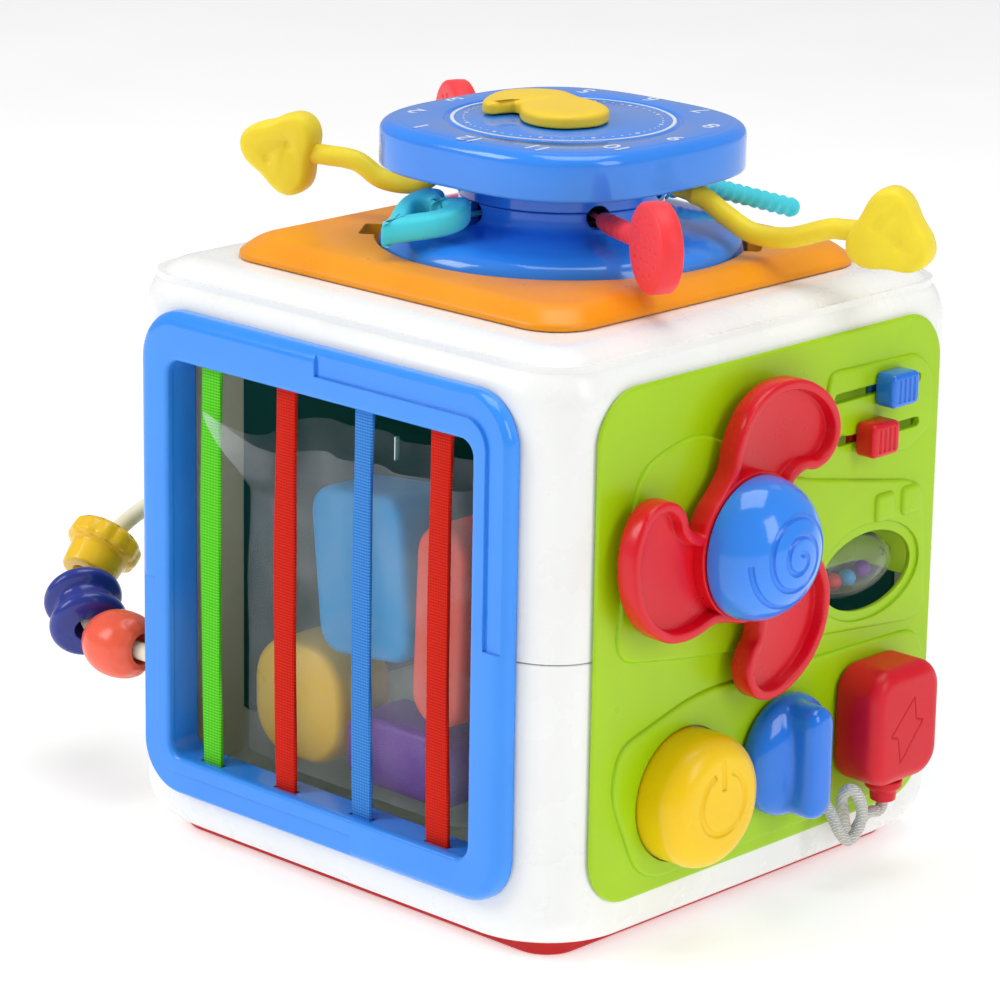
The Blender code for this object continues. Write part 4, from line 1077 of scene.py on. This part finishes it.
def make_key():
    outline = rounded_rect(13.1, 15.2, 7.5, KEY_CENTRE, steps=14)
    key = plate("key_body", "right", rounded_layers(outline, 77.3, 91.0, 1.6, 3.8, 10), KEY_RED)
    bolt = [(39.1, 47.9), (40.0, 42.1), (42.8, 41.2), (34.4, 31.6), (33.1, 38.4), (30.4, 39.2)]
    line = [Vector((91.0, u, v)) for u, v in bolt]
    for k, (start, end) in enumerate(zip(line, line[1:] + line[:1])):
        cut(key, swept("bolt_line_%d" % k, [start, end], 0.24, None, 8))
    apply_steps(key)
    stand_for(key, "key", "pull_key")
    profile = round_profile(
        [
            (0.0, 25.3), (4.8, 25.3, 0.4), (4.7, 23.4, 0.5), (3.5, 22.6, 0.5), (3.2, 19.8, 0.4), (1.7, 19.7),
            (1.6, 20.8), (0.0, 20.8),
        ]
    )
    nozzle = turned("key_spout", profile, (84.0, 37.0, 0.0), (0, 0, 1), KEY_RED, 40)
    stand_for(nozzle, "key", "key_nozzle")


# Beads: radius, along the tube, corner radius
SCALLOPED_BEAD = [
    (4.1, -6.6), (7.4, -6.6, 0.9), (8.0, 0.3, 0.8), (8.8, 0.6, 0.8), (10.2, 1.6, 1.4), (10.2, 5.6, 1.6),
    (8.6, 6.8, 0.8), (4.1, 6.8),
]
FLANGED_BEAD = [
    (4.1, -7.3), (9.0, -7.3, 1.4), (10.4, -5.9, 1.2), (10.4, -3.6, 1.2), (7.6, -2.2, 1.6), (7.4, 0.0, 1.0),
    (7.6, 2.2, 1.6), (10.4, 3.6, 1.2), (10.4, 5.9, 1.2), (9.0, 7.3, 1.4), (4.1, 7.3),
]
BULB_BEAD = [
    (4.1, -8.8), (5.6, -8.8, 0.8), (7.6, -7.0, 1.4), (8.8, -3.6, 2.0), (9.0, 0.0, 2.0), (8.6, 3.4, 2.0),
    (7.2, 6.4, 1.6), (5.4, 8.6, 0.8), (4.1, 8.6),
]


def scalloped(turn, radius, along):
    return radius - 0.55 * (1 - abs(math.cos(6 * turn))) if radius > 9.0 else radius


def fluted(turn, radius, along):
    return radius - 0.175 * (1 + math.cos(10 * turn)) if along < -5.5 and radius > 5 else radius


def loop_frame(angle):
    turn = math.radians(angle)
    tilt = math.radians(50.0)
    rise = Vector((0.0, math.sin(tilt), math.cos(tilt)))
    outward = Vector((-1.0, 0.0, 0.0))
    point = Vector((-95.0, -40.0, 57.0)) + (outward * math.cos(turn) + rise * math.sin(turn)) * 26.0
    direction = rise * math.cos(turn) - outward * math.sin(turn)
    return point, direction


def make_bead_loop():
    layers = panel_layers((-9.5, 77.0), 47.2, 57.2, 9.7, 62.7, 62.7)
    panel = plate("loop_board", "left", layers, TEAL)
    cut(panel, box_tool("loop_slot", "left", ((-25.0, -23.0), (77.0, 84.0), (70, 80))))
    apply_steps(panel)
    stand_for(panel, "cube", "bead_panel")
    start = loop_frame(-90)[0]
    end = loop_frame(90)[0]
    path = [Vector((x, start.y, start.z)) for x in (-77.3, -82, -90)]
    path += [loop_frame(-90 + 180 * i / 60)[0] for i in range(61)]
    path += [Vector((x, end.y, end.z)) for x in (-90, -82, -77.3)]
    tube = swept("loop_tube", path, 2.3, CREAM, 24)
    stand_for(tube, "cube", "bead_tube")
    for name, body, angle, colour_look, profile, swing in (
        ("bead_yellow", "bead_y", -8.0, BEAD_YELLOW, SCALLOPED_BEAD, scalloped),
        ("bead_blue", "bead_b", -51.0, BEAD_BLUE, FLANGED_BEAD, None),
        ("bead_orange", "bead_o", -94.0, BEAD_ORANGE, BULB_BEAD, fluted),
    ):
        point, direction = loop_frame(angle)
        profile = round_profile(profile)
        bead = turned(name + "_turned", profile, point, direction, colour_look, 96, True, 40.0, swing)
        stand_for(bead, body, name)


def make_back_panel():
    layers = panel_layers((0.0, 77.0), 57.2, 57.2, 9.7, 62.7, 62.7)
    panel = plate("back_board", "back", layers, TEAL)
    through = (70.0, 80.0)
    cut(panel, round_tool("round_hole", (28, 0, 103), (0, 1, 0), 15.0, *through))
    cut(panel, box_tool("square_hole", "back", ((15, 41), (90, 116), through), 2.0))
    triangle = smooth_outline([(-16.5, 36), (16.5, 36), (0, 65)], 2.0)
    cut(panel, plate("triangle_hole", "back", [(triangle, w) for w in through], None))
    apply_steps(panel)
    stand_for(panel, "cube", "back_panel")


# Clock toy

TOY_X = 2.6
TOY_Y = 2.5


def make_top_plate():
    half = 57.3
    layers = []
    for inset, z in (
        (0.0, 149.8), (0.0, 150.9), (0.15, 151.2), (0.5, 151.6), (1.2, 152.2), (2.1, 153.0), (3.0, 153.7),
        (4.0, 154.3), (5.0, 154.75), (6.0, 155.0),
    ):
        layers.append((rounded_rect(half - inset, half - inset, 12.0 - inset * 0.55, steps=16), z))
    top = plate("top_board", "top", layers, ORANGE)
    cut(top, round_tool("toy_opening", (TOY_X, TOY_Y, 0.0), (0, 0, 1), 46.3, 140.0, 160.0, 128))
    turn = math.radians(36)
    along = Vector((math.cos(turn), math.sin(turn), 0.0))
    across = Vector((-along.y, along.x, 0.0))
    spot = Vector((TOY_X, TOY_Y, 0.0))
    notch = rounded_rect(50.0, 6.0, 1.2, steps=4)
    rings = [[spot + along * a + across * b + UP * z for a, b in notch] for z in (140.0, 160.0)]
    cut(top, loft("bayonet", rings, None))
    apply_steps(top)
    stand_for(top, "cube", "top_plate")


def head_outline(inset, count=144, half=40.4):
    def reach(turn):
        total = abs(math.cos(turn)) ** 3 + abs(math.sin(turn)) ** 3
        return (half - inset) / total ** (1 / 3)

    return polar_outline(reach, count, (TOY_X, TOY_Y))


def radial(azimuth, reach, z, across=0.0):
    turn = math.radians(azimuth)
    x = TOY_X + reach * math.cos(turn) - across * math.sin(turn)
    y = TOY_Y + reach * math.sin(turn) + across * math.cos(turn)
    return Vector((x, y, z))


def make_toy():
    axis = (TOY_X, TOY_Y, 0.0)
    profile = round_profile(
        [
            (45.5, 149.8), (45.5, 153.6, 1.0), (44.6, 157.0, 3.0), (41.0, 159.2, 3.0), (35.0, 160.4, 2.0),
            (30.0, 161.0, 2.0), (26.6, 161.8, 1.6), (25.6, 163.7, 1.2), (25.5, 166.3), (25.3, 166.5),
            (23.0, 166.5), (23.0, 161.0), (28.0, 158.4), (40.0, 156.6), (42.8, 153.6), (42.8, 149.8),
        ],
        6,
    )
    base = turned("toy_flange", profile, axis, (0, 0, 1), TOY_BLUE, 128, closed=True)
    count = 144

    def ring(radius, z):
        return [Vector((x, y, z)) for x, y in circle(radius, count, (TOY_X, TOY_Y))]

    def lobe(inset, z):
        return [Vector((x, y, z)) for x, y in head_outline(inset)]

    neck = ((23.0, 182.5), (23.0, 166.8), (25.8, 166.8), (26.0, 167.0), (26.0, 173.2))
    rings = [ring(radius, z) for radius, z in neck]
    rings.append(lobe(1.0, 173.2))
    for i in range(1, 6):
        turn = math.radians(90 * i / 5)
        rings.append(lobe(1.0 - math.sin(turn), 174.2 - math.cos(turn)))
    for i in range(9):
        turn = math.radians(90 * i / 8)
        rings.append(lobe(3.0 * (1 - math.cos(turn)), 182.0 + 2.85 * math.sin(turn)))
    rings += [lobe(3.3, 184.78), lobe(3.6, 184.9), lobe(4.2, 184.97)]
    dial = (
        (30.0, 185.0), (29.7, 184.9), (29.4, 184.5), (29.0, 184.4), (28.6, 184.5), (28.3, 184.85),
        (28.1, 184.9), (3.0, 184.92),
    )
    rings += [ring(radius, z) for radius, z in dial]
    head = loft("toy_head", rings, TOY_BLUE)
    cut(head, round_tool("pin_hole", axis, (0, 0, 1), 2.8, 180.0, 190.0, 32))
    for name, azimuth, z, radius in (
        ("yellow_port", 20.0, 170.0, 2.6),
        ("red_port", -27.0, 165.5, 3.0),
        ("cyan_port", 257.0, 163.8, 3.0),
    ):
        direction = radial(azimuth, 1.0, 0.0) - radial(azimuth, 0.0, 0.0)
        cut(head, round_tool(name, radial(azimuth, 0.0, z), direction, radius, -33.0, 33.0, 32))
        if name != "yellow_port":
            cut(base, round_tool(name + "_low", radial(azimuth, 0.0, z), direction, radius, -33.0, 33.0, 32))
    apply_steps(head, 30)
    apply_steps(base, 30)
    stand_for(head, "pull_toy", "pull_head")
    stand_for(base, "pull_toy", "pull_base")
    make_dial()
    make_pointer()


def make_dial():
    """Printed ring, minute dots and hour numbers, a hair above the face."""
    band = [(27.0, 184.9), (27.9, 184.9), (27.9, 185.02), (27.0, 185.02)]
    ring = turned("dial_ring", band, (TOY_X, TOY_Y, 0.0), (0, 0, 1), DIAL_WHITE, 128, closed=True)
    detail(ring, "pull_toy")
    made = bmesh.new()
    for minute in range(60):
        turn = math.radians(6 * minute)
        size = (0.62, 0.62) if minute % 5 == 0 else (0.3, 0.42)
        out = Vector((math.cos(turn), math.sin(turn), 0.0))
        side = Vector((-out.y, out.x, 0.0))
        middle = Vector((TOY_X, TOY_Y, 0.0)) + out * 24.6
        rows = []
        for z in (184.9, 185.02):
            spots = [
                middle + out * (size[0] * math.cos(a)) + side * (size[1] * math.sin(a)) + UP * z
                for a in (2 * math.pi * k / 10 for k in range(10))
            ]
            rows.append([made.verts.new(spot * MM) for spot in spots])
        made.faces.new(rows[1])
        made.faces.new(list(reversed(rows[0])))
        for i in range(10):
            j = (i + 1) % 10
            made.faces.new((rows[0][i], rows[0][j], rows[1][j], rows[1][i]))
    dots = finish_mesh("dial_minutes", made, DIAL_WHITE)
    detail(dots, "pull_toy")
    for hour in range(1, 13):
        turn = math.radians(-86.5 - 30 * hour)
        spread_out = 35.2 if hour in (3, 6, 9, 12) else 36.8
        text = bpy.data.curves.new("hour_%d" % hour, "FONT")
        text.body = str(hour)
        text.size = 7.0 * MM
        text.align_x = "CENTER"
        text.align_y = "CENTER"
        text.extrude = 0.05 * MM
        text.offset = 0.12 * MM
        text.space_character = 0.95
        numeral = bpy.data.objects.new("hour_%d" % hour, text)
        text.materials.append(DIAL_WHITE)
        bpy.context.collection.objects.link(numeral)
        spot = Vector((*around((TOY_X, TOY_Y), spread_out, turn), 184.98))
        numeral.matrix_world = Matrix.Translation(spot * MM) @ Matrix.Rotation(math.pi, 4, "Z")
        detail(numeral, "pull_toy")


def make_pointer():
    """Clock hand: a fat round body, a hand-like lobe and a hooked tail."""
    corners = [
        (16.3, -1.5), (15.4, 4.0), (11.8, 9.0), (5.0, 12.4), (-1.5, 13.6), (-5.2, 15.0), (-9.8, 16.4),
        (-14.4, 15.2), (-18.4, 12.0), (-20.8, 7.5), (-20.6, 2.5), (-18.4, -3.0), (-15.6, -7.4), (-13.0, -9.0),
        (-10.9, -8.4), (-10.2, -5.6), (-9.0, -3.2), (-6.6, -3.6), (-3.6, -6.6), (0.2, -9.5), (4.5, -11.0),
        (9.0, -10.8), (13.4, -8.2),
    ]
    outline = closed_curve(corners, 8)
    layers = rounded_layers(outline, 185.3, 188.5, 0.6, 1.3, 8)
    top = layers[-1][0]
    middle = (0.0, 2.0)
    for factor, z in ((0.95, 188.62), (0.85, 188.7)):
        dome = [Vector(middle).lerp(Vector(point), factor).to_tuple() for point in top]
        layers.append((dome, z))
    pointer = plate("clock_hand", "top", layers, POINTER_YELLOW, 50)
    pin = round_tool("hand_pin", (TOY_X, TOY_Y, 0.0), (0, 0, 1), 2.5, 180.0, 186.0, 32)
    boolean(pointer, pin, "UNION")
    apply_steps(pointer, 30)
    stand_for(pointer, "pointer", "clock_pointer")


def string_piece(name, node, body, azimuth, left, right, level, colour_look, ribs=0.0, rib_pitch=2.4):
    def arm(points):
        return [radial(azimuth, reach, z) for reach, z in points]

    one = smooth_path(arm(left), 14)
    other = smooth_path(arm(right), 14)
    middle = arm([(-27.0, level), (-12.0, level), (12.0, level), (27.0, level)])
    path = one + middle + other
    travelled = [0.0]
    for a, b in zip(path, path[1:]):
        travelled.append(travelled[-1] + (b - a).length)
    first = len(one)
    last = len(one) + len(middle)

    def radius(step, turn):
        if first <= step < last:
            return 0.7
        near = first - 1 - step if step < first else step - last
        thick = 2.6 * min(1.0, 0.72 + 0.05 * near)
        wave = ribs * (0.5 + 0.5 * math.cos(2 * math.pi * travelled[step] / rib_pitch))
        return thick - wave

    string = swept(name, path, radius, colour_look, 20)
    stand_for(string, body, node)


def bulge(turn, half_thick, soft):
    """How far a rounded rim reaches out at an angle on its edge, from the middle of its thickness."""
    lean = math.sin(turn)
    flat = 0.0 if abs(lean) < 1e-6 else math.copysign(half_thick - soft, lean)
    return flat + soft * lean


def end_plate(name, node, body, azimuth, reach_at, z, outline, half_thick, colour_look, soft=1.4):
    rings = []
    for i in range(9):
        turn = math.radians(-90 + 180 * i / 8)
        side = bulge(turn, half_thick, soft)
        rim = inset_outline(outline, soft * (1 - math.cos(turn)))
        rings.append([radial(azimuth, reach_at + u, z + v, side) for u, v in rim])
    return loft(name, rings, colour_look, smooth_angle=50)


def dimple(piece, name, azimuth, reach_at, z, radius, depth, half_thick):
    for k, sign in enumerate((-1, 1)):
        away = half_thick + radius - depth
        spot = radial(azimuth, reach_at, z, sign * away)
        cut(piece, turned(name + "_%d" % k, ball_profile(radius, 80, 10), spot, UP, None, 40))


def make_strings():
    string_piece(
        "yellow_cord_arms", "yellow_string", "yellow_pull", 20.0,
        [(-70.0, 169.7), (-64.5, 169.5), (-56.2, 168.8), (-48.8, 164.9), (-39.5, 164.8), (-33.5, 168.6)],
        [
            (33.5, 169.6), (37.6, 168.8), (43.5, 165.0), (50.6, 161.4), (59.7, 161.2), (69.8, 164.4),
            (74.0, 164.7), (80.0, 164.8),
        ],
        170.0, SILICONE_YELLOW,
    )
    for name, node, azimuth, spot, z, turned_by in (
        ("yellow_tip_left", "yellow_end_left", 200.0, 76.4, 169.7, 10.0),
        ("yellow_tip_right", "yellow_end_right", 20.0, 85.8, 164.9, -30.0),
    ):
        outline = polar_outline(lambda turn: 10.0 + 1.6 * math.cos(3 * (turn - math.radians(turned_by))), 72)
        piece = end_plate(name, node, "yellow_pull", azimuth, spot, z, outline, 4.0, SILICONE_YELLOW, 2.0)
        for k, (u, v) in enumerate(((-2.9, 1.9), (2.9, -1.9))):
            dimple(piece, name + "_dimple_%d" % k, azimuth, spot + u, z + v, 2.6, 0.45, 4.0)
        apply_steps(piece, 40)
        stand_for(piece, "yellow_pull", node)
    string_piece(
        "red_cord_arms", "red_string", "red_pull", -27.0,
        [(-73.0, 169.1), (-68.6, 169.0), (-60.0, 168.2), (-46.0, 166.2), (-33.0, 165.5), (-29.5, 165.5)],
        [(28.5, 165.5), (36.0, 165.6), (44.0, 166.0), (52.6, 166.5), (56.0, 166.5)],
        165.5, SILICONE_RED, 0.45, 4.2,
    )
    disc = circle(11.0, 96)
    for name, node, azimuth, spot, z in (
        ("red_disc_front", "red_paddle_front", -27.0, 64.0, 166.5),
        ("red_disc_back", "red_paddle_back", 153.0, 80.0, 169.0),
    ):
        piece = end_plate(name, node, "red_pull", azimuth, spot, z, disc, 3.0, SILICONE_RED, 1.3)
        for k in range(19):
            reach = 0.0 if k == 0 else (3.6 if k < 7 else 7.0)
            turn = 0.0 if k == 0 else 2 * math.pi * (k - 1) / 6 if k < 7 else 2 * math.pi * (k - 7) / 12
            dimple_at = (spot + reach * math.cos(turn), z + reach * math.sin(turn))
            dimple(piece, name + "_pit_%d" % k, azimuth, dimple_at[0], dimple_at[1], 1.1, 0.35, 3.0)
        apply_steps(piece, 40)
        stand_for(piece, "red_pull", node)
    string_piece(
        "cyan_cord_arms", "cyan_string", "cyan_pull", 257.0,
        [(-72.7, 154.6), (-62.5, 157.8), (-51.0, 161.4), (-42.0, 164.4), (-33.0, 163.9), (-29.5, 163.8)],
        [(28.0, 163.8), (30.0, 164.0), (33.0, 164.9), (37.2, 165.9)],
        163.8, SILICONE_CYAN, 0.55, 3.0,
    )
    make_heart()


def heart(scale, count):
    points = []
    for i in range(count):
        t = 2 * math.pi * (i + 0.5) / count
        across = 16 * math.sin(t) ** 3
        along = 13 * math.cos(t) - 5 * math.cos(2 * t) - 2 * math.cos(3 * t) - math.cos(4 * t)
        points.append((-along * scale, across * scale))
    return points


def make_heart():
    tilt = math.tan(math.radians(16))
    outer = heart(0.76, 120)
    inner = heart(0.74 * 0.43, 120)
    for _ in range(30):
        outer = soften_outline(outer)
    for _ in range(14):
        inner = soften_outline(inner)
    facing = turns_left(outer)
    rings = []
    soft = 1.7
    for outline, sign in ((outer, 1), (inner, -1)):
        for i in range(11):
            turn = math.radians(-90 + 180 * i / 10) * sign
            inset = soft * (1 - math.cos(turn)) * sign * facing
            lift = bulge(turn, 3.0, soft)
            rim = inset_outline(outline, inset)
            rings.append([radial(257.0, 40.1 + u, 164.6 + lift - u * tilt, v) for u, v in rim])
    piece = loft("cyan_heart_ring", rings, SILICONE_CYAN, closed=True, smooth_angle=60)
    stand_for(piece, "cyan_pull", "cyan_heart")


def soften_outline(outline):
    count = len(outline)
    return [
        (
            (outline[i - 1][0] + 2 * outline[i][0] + outline[(i + 1) % count][0]) / 4,
            (outline[i - 1][1] + 2 * outline[i][1] + outline[(i + 1) % count][1]) / 4,
        )
        for i in range(count)
    ]


# Bag and blocks


def make_blocks():
    spans = {
        "block_cyan": ((-21.0, 11.0), (57.5, 100.0), (41.2, 59.8), SKY, 7.0, 6.0),
        "block_yellow": ((-42.5, -11.0), (25.3, 56.0), (41.2, 59.8), BUTTON_YELLOW, 12.0, 0.0),
        "block_purple": ((-9.5, 27.5), (25.2, 43.0), (41.2, 59.8), VIOLET, 5.0, 0.0),
        "block_orange": ((13.5, 30.5), (46.0, 97.0), (41.2, 59.8), BLOCK_ORANGE, 8.0, -2.0),
    }
    for name, (span_u, span_v, span_w, colour_look, radius, lean) in spans.items():
        centre = (sum(span_u) / 2, sum(span_v) / 2)
        outline = rounded_rect((span_u[1] - span_u[0]) / 2, (span_v[1] - span_v[0]) / 2, radius, steps=10)
        turn = math.radians(lean)
        leaning = []
        for u, v in outline:
            across = u * math.cos(turn) - v * math.sin(turn)
            up = u * math.sin(turn) + v * math.cos(turn)
            leaning.append((centre[0] + across, centre[1] + up))
        layers = rounded_layers(leaning, span_w[0], span_w[1], 2.2, 2.2, 6)
        piece = plate(name + "_rounded", "front", layers, colour_look)
        stand_for(piece, "cube", name)
    outline = rounded_rect(7.5, 64.0, 1.5, (46.5, 76.0))
    post = plate("inner_post", "left", rounded_layers(outline, 67.6, 70.8, 0.8, 0.5), CREAM)
    detail(post, "cube")


CORNER_STOPS = [
    (-45.3, -61.0, 109.0),
    (-40.0, -65.5, 108.5),
    (-33.5, -71.5, 109.0),
    (-31.2, -75.6, 110.5),
    (-34.5, -78.4, 113.5),
    (-40.4, -78.9, 116.6),
]


def corner_pull(amount):
    """Where the bag's front left corner goes as it is tugged out past the green band."""
    t = max(0.0, min(0.9999, amount)) * (len(CORNER_STOPS) - 1)
    k = int(t)
    return Vector(CORNER_STOPS[k]).lerp(Vector(CORNER_STOPS[k + 1]), t - k)


def ease(value):
    value = max(0.0, min(1.0, value))
    return value * value * (3 - 2 * value)


def make_bag():
    """Poly bag as one thin sagging shell round the blocks, creased, with its front left corner tugged out."""
    rng = random.Random(7)
    ranges = ((0.05, 0.22), (0, 6.28), (0.03, 0.16), (0, 6.28))
    waves = [[rng.uniform(low, high) for low, high in ranges] for _ in range(9)]
    up = 84
    made = bmesh.new()
    rows = []
    corners = rounded_rect(39.5, 10.9, 4.7, (-5.9, -50.5), steps=9)
    section = []
    for here, after in zip(corners, corners[1:] + corners[:1]):
        run = Vector(after) - Vector(here)
        parts = max(1, int(run.length / 1.3))
        section += [(here[0] + run.x * k / parts, here[1] + run.y * k / parts) for k in range(parts)]
    count = len(section)
    tip = Vector(CORNER_STOPS[0])
    for j in range(up + 1):
        t = j / up
        row = []
        for i, (x, y) in enumerate(section):
            base = 23.4 + 1.6 * ease((-20 - x) / 30)
            rim = 108.4 + 1.2 * ease((-x) / 45)
            z = base + (rim - base) * t
            crease = sum(math.sin(a * x + b + 0.11 * z) * math.cos(c * z + d) for a, b, c, d in waves) / 9
            nx = (x + 5.9) / 40
            ny = (y + 50.5) / 11
            length = math.hypot(nx, ny)
            out = 0.9 * crease + 1.1 * ease((z - 60) / 45) * math.sin(0.21 * x + 0.05 * z)
            slack = ease((z - 98) / 12) * 1.8 * math.sin(0.33 * x + 1.0)
            spot = Vector((x - out * nx / length, y - out * ny / length * 0.5 + slack, z))
            apart = math.hypot(x - tip.x, (y - tip.y) * 1.3)
            pull = ease((z - 90.0) / 19.0) * ease(1.0 - apart / 36.0)
            spot += (corner_pull(pull) - tip) - (spot - Vector((tip.x, tip.y, spot.z))) * pull * 0.92
            row.append(made.verts.new(spot * MM))
        rows.append(row)
    for low, high in zip(rows, rows[1:]):
        for i in range(count):
            j = (i + 1) % count
            made.faces.new((low[i], low[j], high[j], high[i]))
    made.faces.new(list(reversed(rows[0])))
    bag = finish_mesh("bag_film_pouch", made, FILM, 60)
    stand_for(bag, "cube", "block_bag")


# Inner pieces keep their CAD shapes and get finished materials


def dress_inner():
    looks = {
        "cord_anchor": GREY,
        "button_bracket": GREY,
        # The drum bracket takes the lime with painted glow
        "drum_bracket": LIME_INSIDE_PAINTED_GLOW,
        "button_retainer": GREY,
        "fan_axle": FAN_RED,
        "fan_clip": GREY,
        "knob_clip": GREY,
    }
    for name, colour_look in looks.items():
        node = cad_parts[name]
        for slot_entry in node.material_slots:
            slot_entry.material = colour_look


# Studio


def make_stage():
    made = bmesh.new()
    size = 4.0
    corners = ((-size, -size), (size, -size), (size, size), (-size, size))
    made.faces.new([made.verts.new((x, y, 0.0)) for x, y in corners])
    mesh = bpy.data.meshes.new("studio_floor")
    made.to_mesh(mesh)
    made.free()
    floor = bpy.data.objects.new("studio_floor", mesh)
    bpy.context.collection.objects.link(floor)
    look, nodes, links, shader = new_look("studio_paper")
    where = nodes.new("ShaderNodeTexCoord").outputs["Object"]
    tone = spread(nodes, links, noise(nodes, links, where, 9.0, 2.0), 0.0, 1.0)
    paper = blend_colours(nodes, links, tone, (0.90, 0.90, 0.90), (0.93, 0.93, 0.93))
    links.new(paper, shader.inputs["Base Color"])
    adjust(shader, {"Roughness": 0.6, "Emission Color": (1.0, 1.0, 1.0, 1.0), "Emission Strength": 0.32})
    mesh.materials.append(look)


def area_light(name, spot, target, size, power, colour=(1.0, 1.0, 1.0)):
    data = bpy.data.lights.new(name, "AREA")
    data.shape = "RECTANGLE"
    data.size = size[0]
    data.size_y = size[1]
    data.energy = power
    data.color = colour
    lamp = bpy.data.objects.new(name, data)
    bpy.context.collection.objects.link(lamp)
    aim = (Vector(spot) - Vector(target)).to_track_quat("Z", "Y")
    lamp.matrix_world = Matrix.Translation(Vector(spot)) @ aim.to_matrix().to_4x4()


def make_light():
    world = bpy.data.worlds.new("studio")
    bpy.context.scene.world = world
    world.use_nodes = True
    back = world.node_tree.nodes["Background"]
    adjust(back, {"Color": (1.0, 1.0, 1.0, 1.0), "Strength": 0.38})
    area_light("key_left", (-0.9, -1.3, 1.1), (0, 0, 0.08), (0.7, 0.9), 12)
    area_light("fill_right", (1.6, 0.1, 0.9), (0, 0, 0.08), (0.6, 1.0), 7)
    area_light("top_soft", (0.1, 0.1, 1.7), (0, 0, 0.1), (1.1, 1.1), 12)
    scene = bpy.context.scene
    scene.view_settings.view_transform = "Standard"
    scene.view_settings.look = "None"


make_shells()
make_base()
make_window()
make_busy_panel()
make_fan()
make_button()
make_button_spring()
make_knob()
make_sliders()
make_rattle()
make_key()
make_bead_loop()
make_back_panel()
make_top_plate()
make_toy()
make_strings()
make_blocks()
make_bag()
dress_inner()
make_stage()
make_light()
